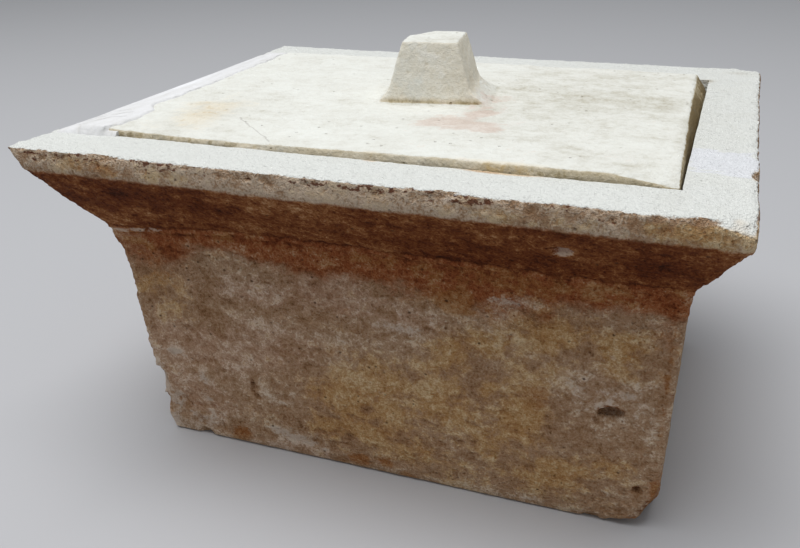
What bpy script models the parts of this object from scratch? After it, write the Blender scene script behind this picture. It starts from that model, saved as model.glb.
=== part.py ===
"""Limestone cinerary urn: a hollow tapering chest under a splayed cornice, and a flat lid with a cut knob.

Metres, +Z up, the front towards -Y. The origin is below the middle of the rim, on the chest's underside.
"""

from dataclasses import dataclass
import math

import bmesh
import bpy
from mathutils import Matrix, Vector, noise

# The chest at its rim, and from its underside to the rim's top
RIM_WIDTH = 0.460
RIM_DEPTH = 0.386
CHEST_HEIGHT = 0.243

# The cornice from the top down: an upright fascia, a splay, a thin fillet and a swept neck into the body
FASCIA_HEIGHT = 0.0154
SPLAY_HEIGHT = 0.0421
FILLET_HEIGHT = 0.0032
FILLET_STEP = 0.0014
SWEEP_HEIGHT = 0.0280

# How far each face of the neck stands in from the rim
NECK_LEFT = 0.0360
NECK_RIGHT = 0.0255
NECK_FRONT = 0.0375
NECK_BACK = 0.0380

# The same for the body below the swept neck, and at its foot
SHOULDER_LEFT = 0.0435
SHOULDER_RIGHT = 0.0287
SHOULDER_FRONT = 0.0425
SHOULDER_BACK = 0.0430
FOOT_LEFT = 0.0530
FOOT_RIGHT = 0.0328
FOOT_FRONT = 0.0548
FOOT_BACK = 0.0540

# What hand work and wear left uneven: edges that bow inwards, a neck line that sags at the left, worn arrises
LEFT_BOW = 0.0040
RIGHT_BOW = 0.0008
BACK_BOW = 0.0040
NECK_SAG = 0.0072
SAG_FULL = 0.050
SAG_GONE = 0.150
RIM_WEAR = 0.0022
FOOT_WEAR = 0.0020
HEWN_DEPTH = 0.0011
HEWN_PITCH = 0.045

# The rebate that the lid lies in: the rim's strip on each side, and its depth
STRIP_LEFT = 0.0340
STRIP_RIGHT = 0.0400
STRIP_FRONT = 0.0420
STRIP_BACK = 0.0580
REBATE_DEPTH = 0.0200

# The hollow for the ashes
WALL = 0.0360
FLOOR = 0.0380
HOLLOW_DRAFT = 0.0050

# The lid: a slab that fits the rebate and stands a little proud, cut short at its back right corner
LID_RISE = 0.0055
LID_CLEARANCE = 0.0008
LID_SKEW = 0.0050
LID_WEAR = 0.0018
SEAT_GAP = 0.0003

# The knob, carved in one with the lid: a block that narrows upwards, with a flared foot, turned a little
KNOB_WIDTH = 0.0660
KNOB_DEPTH = 0.0600
KNOB_TOP_WIDTH = 0.0400
KNOB_TOP_DEPTH = 0.0490
KNOB_HEIGHT = 0.0430
KNOB_TURN = math.radians(8.5)
KNOB_ACROSS = 0.0020
KNOB_BACK = 0.0100
FLARE_LEFT = 0.0060
FLARE_RIGHT = 0.0110
FLARE_FRONT = 0.0015
FLARE_BACK = 0.0050
FLARE_HEIGHT = 0.0120
KNOB_ROOT = 0.0060

# Corners knocked off: how far each break reaches along X, Y and Z from the corner
FOOT_BREAK = Vector((0.0155, 0.0440, 0.0320))
FOOT_SHALLOW_BREAK = Vector((0.0380, 0.0400, 0.0085))
FOOT_LEFT_BREAK = Vector((0.0060, 0.0080, 0.0120))
RIM_BREAK = Vector((0.0220, 0.0200, 0.0080))
RIM_BACK_BREAK = Vector((0.0280, 0.0160, 0.0060))
LID_CORNER_BREAK = Vector((0.0420, 0.0160, 0.0056))
KNOB_TOP_BREAK = Vector((0.0160, 0.0220, 0.0100))
BREAK_ROUGHNESS = 0.0007
BREAK_GRAIN = 0.011
BREAK_SPREAD = 3.0
BREAK_SEED = 11

# Pieces struck out of faces and edges, with their half sizes along X, Y and Z: a deep pit low on the front,
# a chip on the front left arris, one on the rim's right edge, and chips along the rim's front edge
PIT_FROM_RIGHT = 0.0660
PIT_DROP = 0.1540
PIT_SIZE = Vector((0.0080, 0.0040, 0.0045))
ARRIS_CHIP_DROP = 0.1980
ARRIS_CHIP_SIZE = Vector((0.0080, 0.0045, 0.0130))
SIDE_CHIP_FROM_FRONT = 0.0810
SIDE_CHIP_SIZE = Vector((0.0045, 0.0090, 0.0060))
EDGE_CHIPS_FROM_RIGHT = (0.0230, 0.1620, 0.3900)
EDGE_CHIPS_HALF = (0.0130, 0.0080, 0.0170)
EDGE_CHIP_DEPTH = 0.0034
EDGE_CHIP_DROP = 0.0044

# How finely the forms are divided: faces across and along each solid, and levels up each part of its profile
CHEST_COLUMNS = 14
CHEST_ROWS = 12
LID_COLUMNS = 12
LID_ROWS = 10
KNOB_GRID = 4
WALL_STEPS = 7
SWEEP_STEPS = 5
SPLAY_STEPS = 4
FLARE_STEPS = 4
BREAK_CUTS = 5
SCAR_ROUNDS = 2


@dataclass
class Sides:
    """One measure for each side of a rectangle in plan."""

    left: float
    right: float
    front: float
    back: float

    def plus(self, step):
        return Sides(self.left + step, self.right + step, self.front + step, self.back + step)

    def towards(self, other, share):
        return Sides(
            self.left + (other.left - self.left) * share,
            self.right + (other.right - self.right) * share,
            self.front + (other.front - self.front) * share,
            self.back + (other.back - self.back) * share,
        )


@dataclass
class Section:
    """One level of a solid: its drop below the rim's top and how far it stands in from each side of the rim.

    bow, sag and hewn say how much of the rim's bowed edges, of the sagging neck line and of the uneven hewn
    face it has. skew draws its right side in towards the back.
    """

    drop: float
    insets: Sides
    bow: float = 0.0
    sag: float = 0.0
    hewn: float = 0.0
    skew: float = 0.0


FLUSH = Sides(0.0, 0.0, 0.0, 0.0)
NECK = Sides(NECK_LEFT, NECK_RIGHT, NECK_FRONT, NECK_BACK)
SHOULDER = Sides(SHOULDER_LEFT, SHOULDER_RIGHT, SHOULDER_FRONT, SHOULDER_BACK)
FOOT = Sides(FOOT_LEFT, FOOT_RIGHT, FOOT_FRONT, FOOT_BACK)
STRIP = Sides(STRIP_LEFT, STRIP_RIGHT, STRIP_FRONT, STRIP_BACK)

NECK_DROP = FASCIA_HEIGHT + SPLAY_HEIGHT
SHOULDER_DROP = NECK_DROP + FILLET_HEIGHT + SWEEP_HEIGHT
HOLLOW_FOOT = FOOT.plus(WALL)
HOLLOW_MOUTH = HOLLOW_FOOT.plus(-HOLLOW_DRAFT)


def clear_scene():
    for thing in list(bpy.data.objects):
        bpy.data.objects.remove(thing)


def new_collection(name, parent):
    collection = bpy.data.collections.new(name)
    parent.children.link(collection)
    return collection


def stone(name, colour, roughness):
    material = bpy.data.materials.new(name)
    material.use_nodes = True
    shader = material.node_tree.nodes["Principled BSDF"]
    shader.inputs["Base Color"].default_value = (*colour, 1.0)
    shader.inputs["Roughness"].default_value = roughness
    shader.inputs["Metallic"].default_value = 0.0
    return material


def new_object(name, mesh, collection, material=None):
    """Makes an object of the bmesh, with its faces turned outwards."""
    bmesh.ops.recalc_face_normals(mesh, faces=mesh.faces)
    data = bpy.data.meshes.new(name)
    mesh.to_mesh(data)
    mesh.free()
    thing = bpy.data.objects.new(name, data)
    if material:
        data.materials.append(material)
    collection.objects.link(thing)
    return thing


def loft(sections, columns, rows, place):
    """A closed solid: a grid of faces at the first section, extruded on through each of the next ones."""
    mesh = bmesh.new()
    bmesh.ops.create_grid(mesh, x_segments=columns, y_segments=rows, size=0.5)
    across = mesh.verts.layers.float.new("across")
    along = mesh.verts.layers.float.new("along")
    for vert in mesh.verts:
        vert[across], vert[along] = vert.co.x + 0.5, vert.co.y + 0.5
    faces, verts = list(mesh.faces), list(mesh.verts)
    for level, section in enumerate(sections):
        if level:
            drawn = bmesh.ops.extrude_face_region(mesh, geom=faces)["geom"]
            if level > 1:
                bmesh.ops.delete(mesh, geom=faces, context="FACES")
            faces = [part for part in drawn if isinstance(part, bmesh.types.BMFace)]
            verts = [part for part in drawn if isinstance(part, bmesh.types.BMVert)]
        for vert in verts:
            vert.co = place(section, vert[across], vert[along])
    return mesh


def smooth(share):
    """Eases from 0 to 1."""
    share = min(max(share, 0.0), 1.0)
    return share * share * (3.0 - 2.0 * share)


def on_chest(section, across, along):
    """The point of a chest or lid section at these shares of its width and depth."""
    across_arch = 1.0 - (2.0 * across - 1.0) ** 2
    along_arch = 1.0 - (2.0 * along - 1.0) ** 2
    insets = section.insets
    low_x = insets.left + LEFT_BOW * section.bow * along_arch - RIM_WIDTH / 2
    high_x = RIM_WIDTH / 2 - insets.right - RIGHT_BOW * section.bow * along_arch - section.skew * along
    low_y = insets.front - RIM_DEPTH / 2
    high_y = RIM_DEPTH / 2 - insets.back - BACK_BOW * section.bow * across_arch
    x = low_x + (high_x - low_x) * across
    y = low_y + (high_y - low_y) * along
    from_left = RIM_WIDTH * across
    sag = NECK_SAG * section.sag * (1.0 - smooth((from_left - SAG_FULL) / (SAG_GONE - SAG_FULL)))
    z = CHEST_HEIGHT - section.drop - sag
    inwards = HEWN_DEPTH * section.hewn * (0.5 + 0.5 * noise.noise(Vector((x, y, z)) / HEWN_PITCH))
    return Vector((x - inwards * (2.0 * across - 1.0), y - inwards * (2.0 * along - 1.0), z))


def wall_insets(drop):
    """How far the body's wall stands in at this drop, between the foot and the shoulder."""
    return FOOT.towards(SHOULDER, (CHEST_HEIGHT - drop) / (CHEST_HEIGHT - SHOULDER_DROP))


def wall_sections():
    """The body's wall, from the foot up to where the neck starts to sweep out."""
    lowest = CHEST_HEIGHT - FOOT_WEAR
    for step in range(WALL_STEPS + 1):
        drop = lowest + (SHOULDER_DROP - lowest) * step / WALL_STEPS
        yield Section(drop, wall_insets(drop), hewn=1.0)


def sweep_sections():
    """The swept neck, an easy double curve from the body's wall out to the fillet."""
    top = NECK.plus(FILLET_STEP)
    for step in range(1, SWEEP_STEPS + 1):
        share = step / SWEEP_STEPS
        drop = SHOULDER_DROP - SWEEP_HEIGHT * share
        yield Section(drop, SHOULDER.towards(top, smooth(share)), sag=share, hewn=1.0 - share)


def splay_sections():
    """The cornice's splayed underside, from the neck out to the fascia's foot."""
    for step in range(SPLAY_STEPS + 1):
        share = step / SPLAY_STEPS
        drop = NECK_DROP - SPLAY_HEIGHT * share
        hewn = math.sin(math.pi * share)
        yield Section(drop, NECK.towards(FLUSH, share), bow=share, sag=1.0 - share, hewn=hewn)


def chest_sections():
    """From the underside up the outside, over the rim, and down into the hollow."""
    return [
        Section(CHEST_HEIGHT, FOOT.plus(FOOT_WEAR)),
        *wall_sections(),
        *sweep_sections(),
        Section(NECK_DROP + FILLET_HEIGHT, NECK, sag=1.0),
        *splay_sections(),
        Section(RIM_WEAR, FLUSH, bow=1.0),
        Section(0.0, FLUSH.plus(RIM_WEAR), bow=1.0),
        Section(0.0, STRIP),
        Section(REBATE_DEPTH, STRIP),
        Section(REBATE_DEPTH, HOLLOW_MOUTH),
        Section((REBATE_DEPTH + CHEST_HEIGHT - FLOOR) / 2, HOLLOW_MOUTH.towards(HOLLOW_FOOT, 0.5)),
        Section(CHEST_HEIGHT - FLOOR, HOLLOW_FOOT),
    ]


def lid_sections():
    """The slab, from its underside on the ledge up to its worn top arris."""
    edge = STRIP.plus(LID_CLEARANCE)
    return [
        Section(REBATE_DEPTH - SEAT_GAP, edge, skew=LID_SKEW),
        Section(LID_WEAR - LID_RISE, edge, skew=LID_SKEW),
        Section(-LID_RISE, edge.plus(LID_WEAR), skew=LID_SKEW),
    ]


def knob_sections():
    """Height and half sizes of the knob, from its root in the slab up its flared foot to the flat top."""
    half = Sides(KNOB_WIDTH / 2, KNOB_WIDTH / 2, KNOB_DEPTH / 2, KNOB_DEPTH / 2)
    top = Sides(KNOB_TOP_WIDTH / 2, KNOB_TOP_WIDTH / 2, KNOB_TOP_DEPTH / 2, KNOB_TOP_DEPTH / 2)
    flared = Sides(
        half.left + FLARE_LEFT,
        half.right + FLARE_RIGHT,
        half.front + FLARE_FRONT,
        half.back + FLARE_BACK,
    )
    sections = [(-KNOB_ROOT, flared)]
    for step in range(FLARE_STEPS + 1):
        share = step / FLARE_STEPS
        height = FLARE_HEIGHT * share
        straight = half.towards(top, height / KNOB_HEIGHT)
        sections.append((height, straight.towards(flared, (1.0 - share) ** 2)))
    sections.append((KNOB_HEIGHT, top))
    return sections


def on_knob(section, across, along):
    height, half = section
    x = (half.left + half.right) * across - half.left
    y = (half.front + half.back) * along - half.front
    return Vector((x, y, height))


def roughen(mesh, depth):
    """Moves every point of a cutter a little, so that what it breaks off leaves no flat cut."""
    for vert in mesh.verts:
        vert.co += depth * noise.noise_vector(vert.co / BREAK_GRAIN)


def new_cutter(name, mesh, placing, collection):
    cutter = new_object(name, mesh, collection)
    cutter.matrix_world = placing
    cutter.hide_render = True
    cutter.display_type = "WIRE"
    return cutter


def cut(host, cutter, operation="DIFFERENCE"):
    change = host.modifiers.new(cutter.name, "BOOLEAN")
    change.operation = operation
    change.solver = "EXACT"
    change.object = cutter


def break_corner(host, name, corner, reach, inwards, collection):
    """Knocks off a corner. The break passes the given reaches from it, along X, Y and Z, inwards."""
    across = Vector((reach.x * inwards[0], 0, 0))
    along = Vector((0, reach.y * inwards[1], 0))
    down = Vector((0, 0, reach.z * inwards[2]))
    middle = corner + (across + along + down) / 3
    out = (along - across).cross(down - across).normalized()
    if out.dot(corner - middle) < 0:
        out.negate()
    size = BREAK_SPREAD * max(reach)
    mesh = bmesh.new()
    bmesh.ops.create_cube(mesh, size=size)
    bmesh.ops.subdivide_edges(mesh, edges=mesh.edges, cuts=BREAK_CUTS, use_grid_fill=True)
    roughen(mesh, BREAK_ROUGHNESS)
    turn = out.to_track_quat("Z", "Y").to_matrix().to_4x4()
    cutter = new_cutter(name, mesh, Matrix.Translation(middle + out * size / 2) @ turn, collection)
    cut(host, cutter)


def strike_out(host, name, centre, size, collection):
    """Strikes a shallow scar out of a face or edge, with a rough ball of the given half sizes."""
    mesh = bmesh.new()
    bmesh.ops.create_icosphere(mesh, subdivisions=SCAR_ROUNDS, radius=1.0)
    for vert in mesh.verts:
        vert.co = Vector((vert.co.x * size.x, vert.co.y * size.y, vert.co.z * size.z))
    roughen(mesh, BREAK_ROUGHNESS)
    cut(host, new_cutter(name, mesh, Matrix.Translation(centre), collection))


def chip_chest(chest, cutters):
    """The pit and the chips on the front, and the one on the rim's right edge."""
    right = RIM_WIDTH / 2
    front = -RIM_DEPTH / 2
    pit = Vector((right - PIT_FROM_RIGHT, front + wall_insets(PIT_DROP).front, CHEST_HEIGHT - PIT_DROP))
    strike_out(chest, "pit", pit, PIT_SIZE, cutters)
    insets = wall_insets(ARRIS_CHIP_DROP)
    arris = Vector((insets.left - right, front + insets.front, CHEST_HEIGHT - ARRIS_CHIP_DROP))
    strike_out(chest, "arris_chip", arris, ARRIS_CHIP_SIZE, cutters)
    side = Vector((right, front + SIDE_CHIP_FROM_FRONT, CHEST_HEIGHT))
    strike_out(chest, "side_chip", side, SIDE_CHIP_SIZE, cutters)
    for number, (from_right, half) in enumerate(zip(EDGE_CHIPS_FROM_RIGHT, EDGE_CHIPS_HALF)):
        edge = Vector((right - from_right, front, CHEST_HEIGHT))
        size = Vector((half, EDGE_CHIP_DEPTH, EDGE_CHIP_DROP))
        strike_out(chest, f"edge_chip_{number}", edge, size, cutters)


def build_chest(parts, cutters):
    material = stone("chest_limestone", (0.46, 0.36, 0.25), 0.88)
    mesh = loft(chest_sections(), CHEST_COLUMNS, CHEST_ROWS, on_chest)
    chest = new_object("urn_chest", mesh, parts, material)
    right = RIM_WIDTH / 2
    front = -RIM_DEPTH / 2
    foot_right = Vector((right - FOOT.right, front + FOOT.front, 0.0))
    foot_left = Vector((FOOT.left - right, front + FOOT.front, 0.0))
    rim_right = Vector((right, front, CHEST_HEIGHT))
    rim_back = Vector((right, -front, CHEST_HEIGHT))
    break_corner(chest, "foot_break", foot_right, FOOT_BREAK, (-1, 1, 1), cutters)
    break_corner(chest, "foot_shallow_break", foot_right, FOOT_SHALLOW_BREAK, (-1, 1, 1), cutters)
    break_corner(chest, "foot_left_break", foot_left, FOOT_LEFT_BREAK, (1, 1, 1), cutters)
    break_corner(chest, "rim_break", rim_right, RIM_BREAK, (-1, 1, -1), cutters)
    break_corner(chest, "rim_back_break", rim_back, RIM_BACK_BREAK, (-1, -1, -1), cutters)
    chip_chest(chest, cutters)


def build_lid(parts, cutters):
    material = stone("lid_limestone", (0.74, 0.71, 0.62), 0.85)
    mesh = loft(lid_sections(), LID_COLUMNS, LID_ROWS, on_chest)
    lid = new_object("urn_lid", mesh, parts, material)
    top = CHEST_HEIGHT + LID_RISE
    knob_x = (STRIP.left - STRIP.right) / 2 + KNOB_ACROSS
    knob_y = (STRIP.front - STRIP.back) / 2 + KNOB_BACK
    placing = Matrix.Translation((knob_x, knob_y, top)) @ Matrix.Rotation(KNOB_TURN, 4, "Z")
    knob = new_cutter("knob", loft(knob_sections(), KNOB_GRID, KNOB_GRID, on_knob), placing, cutters)
    cut(lid, knob, "UNION")
    edge = STRIP.plus(LID_CLEARANCE)
    corner = Vector((RIM_WIDTH / 2 - edge.right, edge.front - RIM_DEPTH / 2, top))
    break_corner(lid, "lid_corner_break", corner, LID_CORNER_BREAK, (-1, 1, -1), cutters)
    knob_corner = placing @ Vector((-KNOB_TOP_WIDTH / 2, KNOB_TOP_DEPTH / 2, KNOB_HEIGHT))
    break_corner(lid, "knob_top_break", knob_corner, KNOB_TOP_BREAK, (1, -1, -1), cutters)


def main():
    clear_scene()
    noise.seed_set(BREAK_SEED)
    root = bpy.context.scene.collection
    parts = new_collection("stone_cinerary_urn", root)
    cutters = new_collection("urn_cutters", root)
    build_chest(parts, cutters)
    build_lid(parts, cutters)


main()
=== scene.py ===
# %% [markdown]
# # A limestone ash chest, as a lesson in Blender
#
# The object is a small stone coffer, about 46 cm wide, cut from one block of limestone. It tapers to its
# foot, carries a heavy splayed cornice, and is closed by a flat lid that lies in a rebate and has a knob
# to lift it by. Nearly two thousand years have worn its edges, stained its front and left pits, chips and
# white repairs.
#
# The frame holds the plain solids at their real size. Here each gets a finer twin with the same measures.

# %% Load the frame
import math
import random

import bmesh
import bpy
import numpy as np
from mathutils import Euler, Matrix, Vector, kdtree, noise


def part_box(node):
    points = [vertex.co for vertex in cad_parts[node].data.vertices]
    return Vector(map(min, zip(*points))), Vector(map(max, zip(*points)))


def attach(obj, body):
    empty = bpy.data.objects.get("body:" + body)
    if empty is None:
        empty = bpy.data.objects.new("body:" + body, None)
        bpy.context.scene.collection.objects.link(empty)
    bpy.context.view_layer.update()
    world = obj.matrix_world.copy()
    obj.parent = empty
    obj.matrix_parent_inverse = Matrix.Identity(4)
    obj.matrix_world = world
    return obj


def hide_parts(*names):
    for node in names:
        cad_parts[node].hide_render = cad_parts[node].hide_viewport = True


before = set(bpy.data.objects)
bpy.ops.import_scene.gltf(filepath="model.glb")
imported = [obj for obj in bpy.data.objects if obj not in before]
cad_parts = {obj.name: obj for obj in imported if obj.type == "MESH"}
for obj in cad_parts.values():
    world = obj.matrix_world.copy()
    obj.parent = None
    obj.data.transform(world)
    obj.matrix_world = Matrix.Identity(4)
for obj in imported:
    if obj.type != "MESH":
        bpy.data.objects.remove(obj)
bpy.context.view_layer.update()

# %% [markdown]
# ## The camera
#
# The urn was seen from a little above and from its right, by a camera only half a metre from the rim, so
# its lines run together strongly. A camera's place could be found by eye, but a fit to the rim's and
# foot's corners gave this one, with its turn, tilt and roll in degrees. No shift and no blur is needed.

# %% Place the camera
CAMERA_PLACE = Vector((0.2075, -0.6207, 0.3991))
CAMERA_YAW, CAMERA_PITCH, CAMERA_ROLL = 21.066, -24.517, -1.101
FOCAL_PIXELS = 872.3
PHOTO_WIDTH = 800
SENSOR_MM = 36.0

camera = bpy.data.objects.new("camera", bpy.data.cameras.new("camera"))
bpy.context.scene.collection.objects.link(camera)
camera.data.sensor_width = SENSOR_MM
camera.data.lens = FOCAL_PIXELS / PHOTO_WIDTH * SENSOR_MM
turn = (
    Matrix.Rotation(math.radians(CAMERA_YAW), 4, "Z")
    @ Matrix.Rotation(math.radians(90 + CAMERA_PITCH), 4, "X")
    @ Matrix.Rotation(math.radians(CAMERA_ROLL), 4, "Z")
)
camera.matrix_world = Matrix.Translation(CAMERA_PLACE) @ turn
bpy.context.scene.camera = camera
print("lens", round(camera.data.lens, 2), "mm")

# %% [markdown]
# ## The sizes
#
# The sizes here are in metres. The rim and the lid are read from the frame, and the levels and insets of
# the profile are the same named sizes that the solids were made from. An inset says how far a level
# stands in from the rim on the left, right, front and back: the maker's lines are not quite even, so the
# four differ.

# %% Name the sizes
chest_low, chest_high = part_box("urn_chest")
lid_low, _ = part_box("urn_lid")
RIM_TOP = chest_high.z
FASCIA = 0.0154
SPLAY = 0.0421
FILLET = 0.0032
FILLET_STEP = 0.0014
SWEEP = 0.0280
NECK = (0.0360, 0.0255, 0.0375, 0.0380)
SHOULDER = (0.0435, 0.0287, 0.0425, 0.0430)
FOOT = (0.0530, 0.0328, 0.0548, 0.0540)
STRIP = (0.0340, 0.0400, 0.0420, 0.0580)
FLUSH = (0.0, 0.0, 0.0, 0.0)
REBATE = 0.0200
WALL, FLOOR, DRAFT = 0.0360, 0.0380, 0.0050
LID_RISE = 0.0055
LID_SKEW, LID_SLOPE_DEPTH = 0.0085, 0.010
LID_FRONT_WEAR, LID_FRONT_REACH = 0.0020, 0.045
LID_CLEARANCE = 0.0008

NECK_DROP = FASCIA + SPLAY
SHOULDER_DROP = NECK_DROP + FILLET + SWEEP


def plus(insets, step):
    return tuple(inset + step for inset in insets)


def between(insets, others, share):
    return tuple(a + (b - a) * share for a, b in zip(insets, others))


def plan(insets):
    """The rectangle that stands in from the rim by these insets: low x, high x, low y, high y."""
    left, right, front, back = insets
    return chest_low.x + left, chest_high.x - right, chest_low.y + front, chest_high.y - back


def ease(share):
    """From 0 to 1 with a soft start and end, for numbers and arrays alike."""
    share = np.clip(share, 0.0, 1.0)
    return share * share * (3.0 - 2.0 * share)


def bell(value, middle, spread):
    """1 at the middle, fading to 0 on both sides."""
    return np.exp(-(((value - middle) / spread) ** 2))


def bow(share):
    """0 at both ends of a side and 1 at its middle."""
    return 1.0 - (2.0 * share - 1.0) ** 2


rim_size = chest_high - chest_low
print("rim", round(rim_size.x, 4), "x", round(rim_size.y, 4), "height", round(RIM_TOP, 4))

# %% [markdown]
# ## Tools for working by hand
#
# Each of these few helpers is one thing that a modeller does with the mouse: pick an object, add a
# primitive, draw the selected faces up to a new outline, or put on a modifier and apply it.

# %% Helpers for shaping
def pick(piece):
    bpy.ops.object.select_all(action="DESELECT")
    piece.select_set(True)
    bpy.context.view_layer.objects.active = piece


def add(kind, name, **settings):
    bpy.ops.object.select_all(action="DESELECT")
    getattr(bpy.ops.mesh, f"primitive_{kind}_add")(**settings)
    bpy.context.object.name = name
    return bpy.context.object


def edit(piece):
    pick(piece)
    bpy.ops.object.mode_set(mode="EDIT")


def leave():
    bpy.ops.object.mode_set(mode="OBJECT")


def face_outwards():
    """Turns every face of the piece in edit mode outwards, and leaves that mode."""
    bpy.ops.mesh.select_all(action="SELECT")
    bpy.ops.mesh.normals_make_consistent(inside=False)
    leave()


def fit(old, new, level):
    """Scales and moves what is selected, at one level, from one plan rectangle to another."""
    middle = ((old[0] + old[1]) / 2, (old[2] + old[3]) / 2, level)
    size = ((new[1] - new[0]) / (old[1] - old[0]), (new[3] - new[2]) / (old[3] - old[2]), 1.0)
    bpy.ops.transform.resize(value=size, center_override=middle)
    move = ((new[0] + new[1]) / 2 - middle[0], (new[2] + new[3]) / 2 - middle[1], 0.0)
    bpy.ops.transform.translate(value=move)


def draw_up(levels):
    """Extrudes the selected faces through a list of (height, plan rectangle), from the first one on."""
    height, rectangle = levels[0]
    for next_height, next_rectangle in levels[1:]:
        bpy.ops.mesh.extrude_region_move(TRANSFORM_OT_translate={"value": (0, 0, next_height - height)})
        fit(rectangle, next_rectangle, next_height)
        height, rectangle = next_height, next_rectangle


def finish(piece, kind, **settings):
    """Puts a modifier on the piece and applies it."""
    pick(piece)
    change = piece.modifiers.new(kind.lower(), kind)
    for name, value in settings.items():
        setattr(change, name, value)
    bpy.ops.object.modifier_apply(modifier=change.name)


def points_of(piece):
    flat = np.empty(len(piece.data.vertices) * 3, np.float32)
    piece.data.vertices.foreach_get("co", flat)
    return flat.reshape(-1, 3).astype(float)


def weigh(piece, name, weights):
    """A vertex group with these weights, rounded to hundredths."""
    group = piece.vertex_groups.new(name=name)
    steps = np.round(np.clip(weights, 0.0, 1.0) * 100).astype(int)
    for step in np.unique(steps[steps > 0]):
        group.add(np.flatnonzero(steps == step).tolist(), float(step) / 100, "REPLACE")
    return group.name


def push(piece, axis, amount, weights):
    """Moves the points along one axis by the amount times their weight."""
    group = weigh(piece, "push", weights)
    finish(piece, "DISPLACE", direction=axis, strength=amount, mid_level=0.0, vertex_group=group)
    piece.vertex_groups.clear()


# %% [markdown]
# ## The chest as a block
#
# A mason starts with a squared block and cuts the cornice and the tapering walls from it. In Blender the
# same outline grows from below: a flat grid of faces at the foot is extruded upwards, and each new level
# is scaled to its own outline. A box with loop cuts would also do, but the extrusion keeps each level's
# insets exact. The hollow comes much later, as it did for the mason.

# %% Draw the block up from its foot
GRID_ACROSS, GRID_ALONG = 46, 38
SWEEP_STEPS = 6
SPLAY_STEPS = 5
FOOT_WEAR = 0.0020
RIM_WEAR = 0.0016

foot_plan = plan(plus(FOOT, FOOT_WEAR))
levels = [(0.0, foot_plan), (FOOT_WEAR, plan(FOOT)), (RIM_TOP - SHOULDER_DROP, plan(SHOULDER))]
for step in range(1, SWEEP_STEPS + 1):
    share = step / SWEEP_STEPS
    height = RIM_TOP - SHOULDER_DROP + SWEEP * share
    levels.append((height, plan(between(SHOULDER, plus(NECK, FILLET_STEP), float(ease(share))))))
levels.append((RIM_TOP - NECK_DROP - FILLET, plan(NECK)))
for step in range(SPLAY_STEPS + 1):
    share = step / SPLAY_STEPS
    levels.append((RIM_TOP - NECK_DROP + SPLAY * share, plan(between(NECK, FLUSH, share))))
levels.append((RIM_TOP - RIM_WEAR, plan(FLUSH)))
levels.append((RIM_TOP, plan(plus(FLUSH, RIM_WEAR))))

chest = add("grid", "stone_chest", x_subdivisions=GRID_ACROSS, y_subdivisions=GRID_ALONG, size=1.0)
edit(chest)
fit((-0.5, 0.5, -0.5, 0.5), foot_plan, 0.0)
draw_up(levels)
face_outwards()
print("block", len(chest.data.polygons), "faces,", len(levels), "levels")

# %% [markdown]
# The neck line sags towards the left corner, the rim's left and back edges bow inwards, and the fascia's
# left end is worn back below. Each is one soft push on a weighted group of points, which a Displace
# modifier without a texture does exactly. Proportional editing would be the quicker way by eye.

# %% Push the block out of true
NECK_SAG, SAG_FULL, SAG_GONE = 0.0072, 0.050, 0.150
LEFT_BOW, RIGHT_BOW, BACK_BOW = 0.0040, 0.0008, 0.0040
LEFT_END_WEAR = 0.0035
LEFT_END_DROP, LEFT_END_SPREAD = 0.022, 0.014
CORNER_OUT, CORNER_UNDERCUT, CORNER_REACH, UNDERCUT_SPREAD = 0.0040, 0.0040, 0.040, 0.010
ON_EDGE, NEAR_EDGE, CORNER_PART = 0.02, 0.06, 0.10

x, y, z = points_of(chest).T
across = (x - chest_low.x) / (chest_high.x - chest_low.x)
along = (y - chest_low.y) / (chest_high.y - chest_low.y)
drop = RIM_TOP - z
in_neck = np.where(drop < NECK_DROP, drop - FASCIA, SHOULDER_DROP - drop)
in_neck = np.clip(in_neck / np.where(drop < NECK_DROP, SPLAY, SWEEP), 0.0, 1.0)
left_part = 1.0 - ease((x - chest_low.x - SAG_FULL) / (SAG_GONE - SAG_FULL))
rim_part = 1.0 - ease((drop - FASCIA) / SPLAY)
push(chest, "Z", -NECK_SAG, in_neck * left_part)
push(chest, "X", LEFT_BOW, rim_part * (across < ON_EDGE) * bow(along))
push(chest, "X", -RIGHT_BOW, rim_part * (across > 1 - ON_EDGE) * bow(along))
push(chest, "Y", -BACK_BOW, rim_part * (along > 1 - ON_EDGE) * bow(across))
push(chest, "X", LEFT_END_WEAR, bell(drop, LEFT_END_DROP, LEFT_END_SPREAD) * (across < NEAR_EDGE))
at_corner = bell(y, chest_low.y, CORNER_REACH) * (across < CORNER_PART)
push(chest, "X", -CORNER_OUT, at_corner * (drop < FASCIA / 2) * (across < ON_EDGE))
push(chest, "X", CORNER_UNDERCUT, at_corner * bell(drop, FASCIA, UNDERCUT_SPREAD) * (drop > FASCIA / 2))
print("neck sags", NECK_SAG, "at the left")

# %% [markdown]
# ## Corners knocked off
#
# The lower right foot and two corners of the rim are broken away. A break is close to a plane that cuts
# the corner, so Bisect does it: it cuts along a plane, clears what lies outside and fills the cut. The
# plane is given by how far it reaches along X, Y and Z from the lost corner.

# %% Knock off the corners
FOOT_BREAK = (0.0155, 0.0440, 0.0320)
FOOT_SHALLOW_BREAK = (0.0380, 0.0400, 0.0085)
FOOT_LEFT_BREAK = (0.0060, 0.0080, 0.0120)
RIM_BREAK = (0.0220, 0.0200, 0.0080)
RIM_BACK_BREAK = (0.0280, 0.0160, 0.0060)
breaks = []


def knock_off(piece, corner, reach, inwards):
    across, along, down = (Vector(axis) for axis in np.diag([r * i for r, i in zip(reach, inwards)]))
    middle = Vector(corner) + (across + along + down) / 3
    outwards = (along - across).cross(down - across).normalized()
    if outwards.dot(Vector(corner) - middle) < 0:
        outwards.negate()
    edit(piece)
    bpy.ops.mesh.select_all(action="SELECT")
    bpy.ops.mesh.bisect(plane_co=middle, plane_no=outwards, use_fill=True, clear_outer=True)
    leave()
    breaks.append((middle, outwards, max(reach)))


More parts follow.
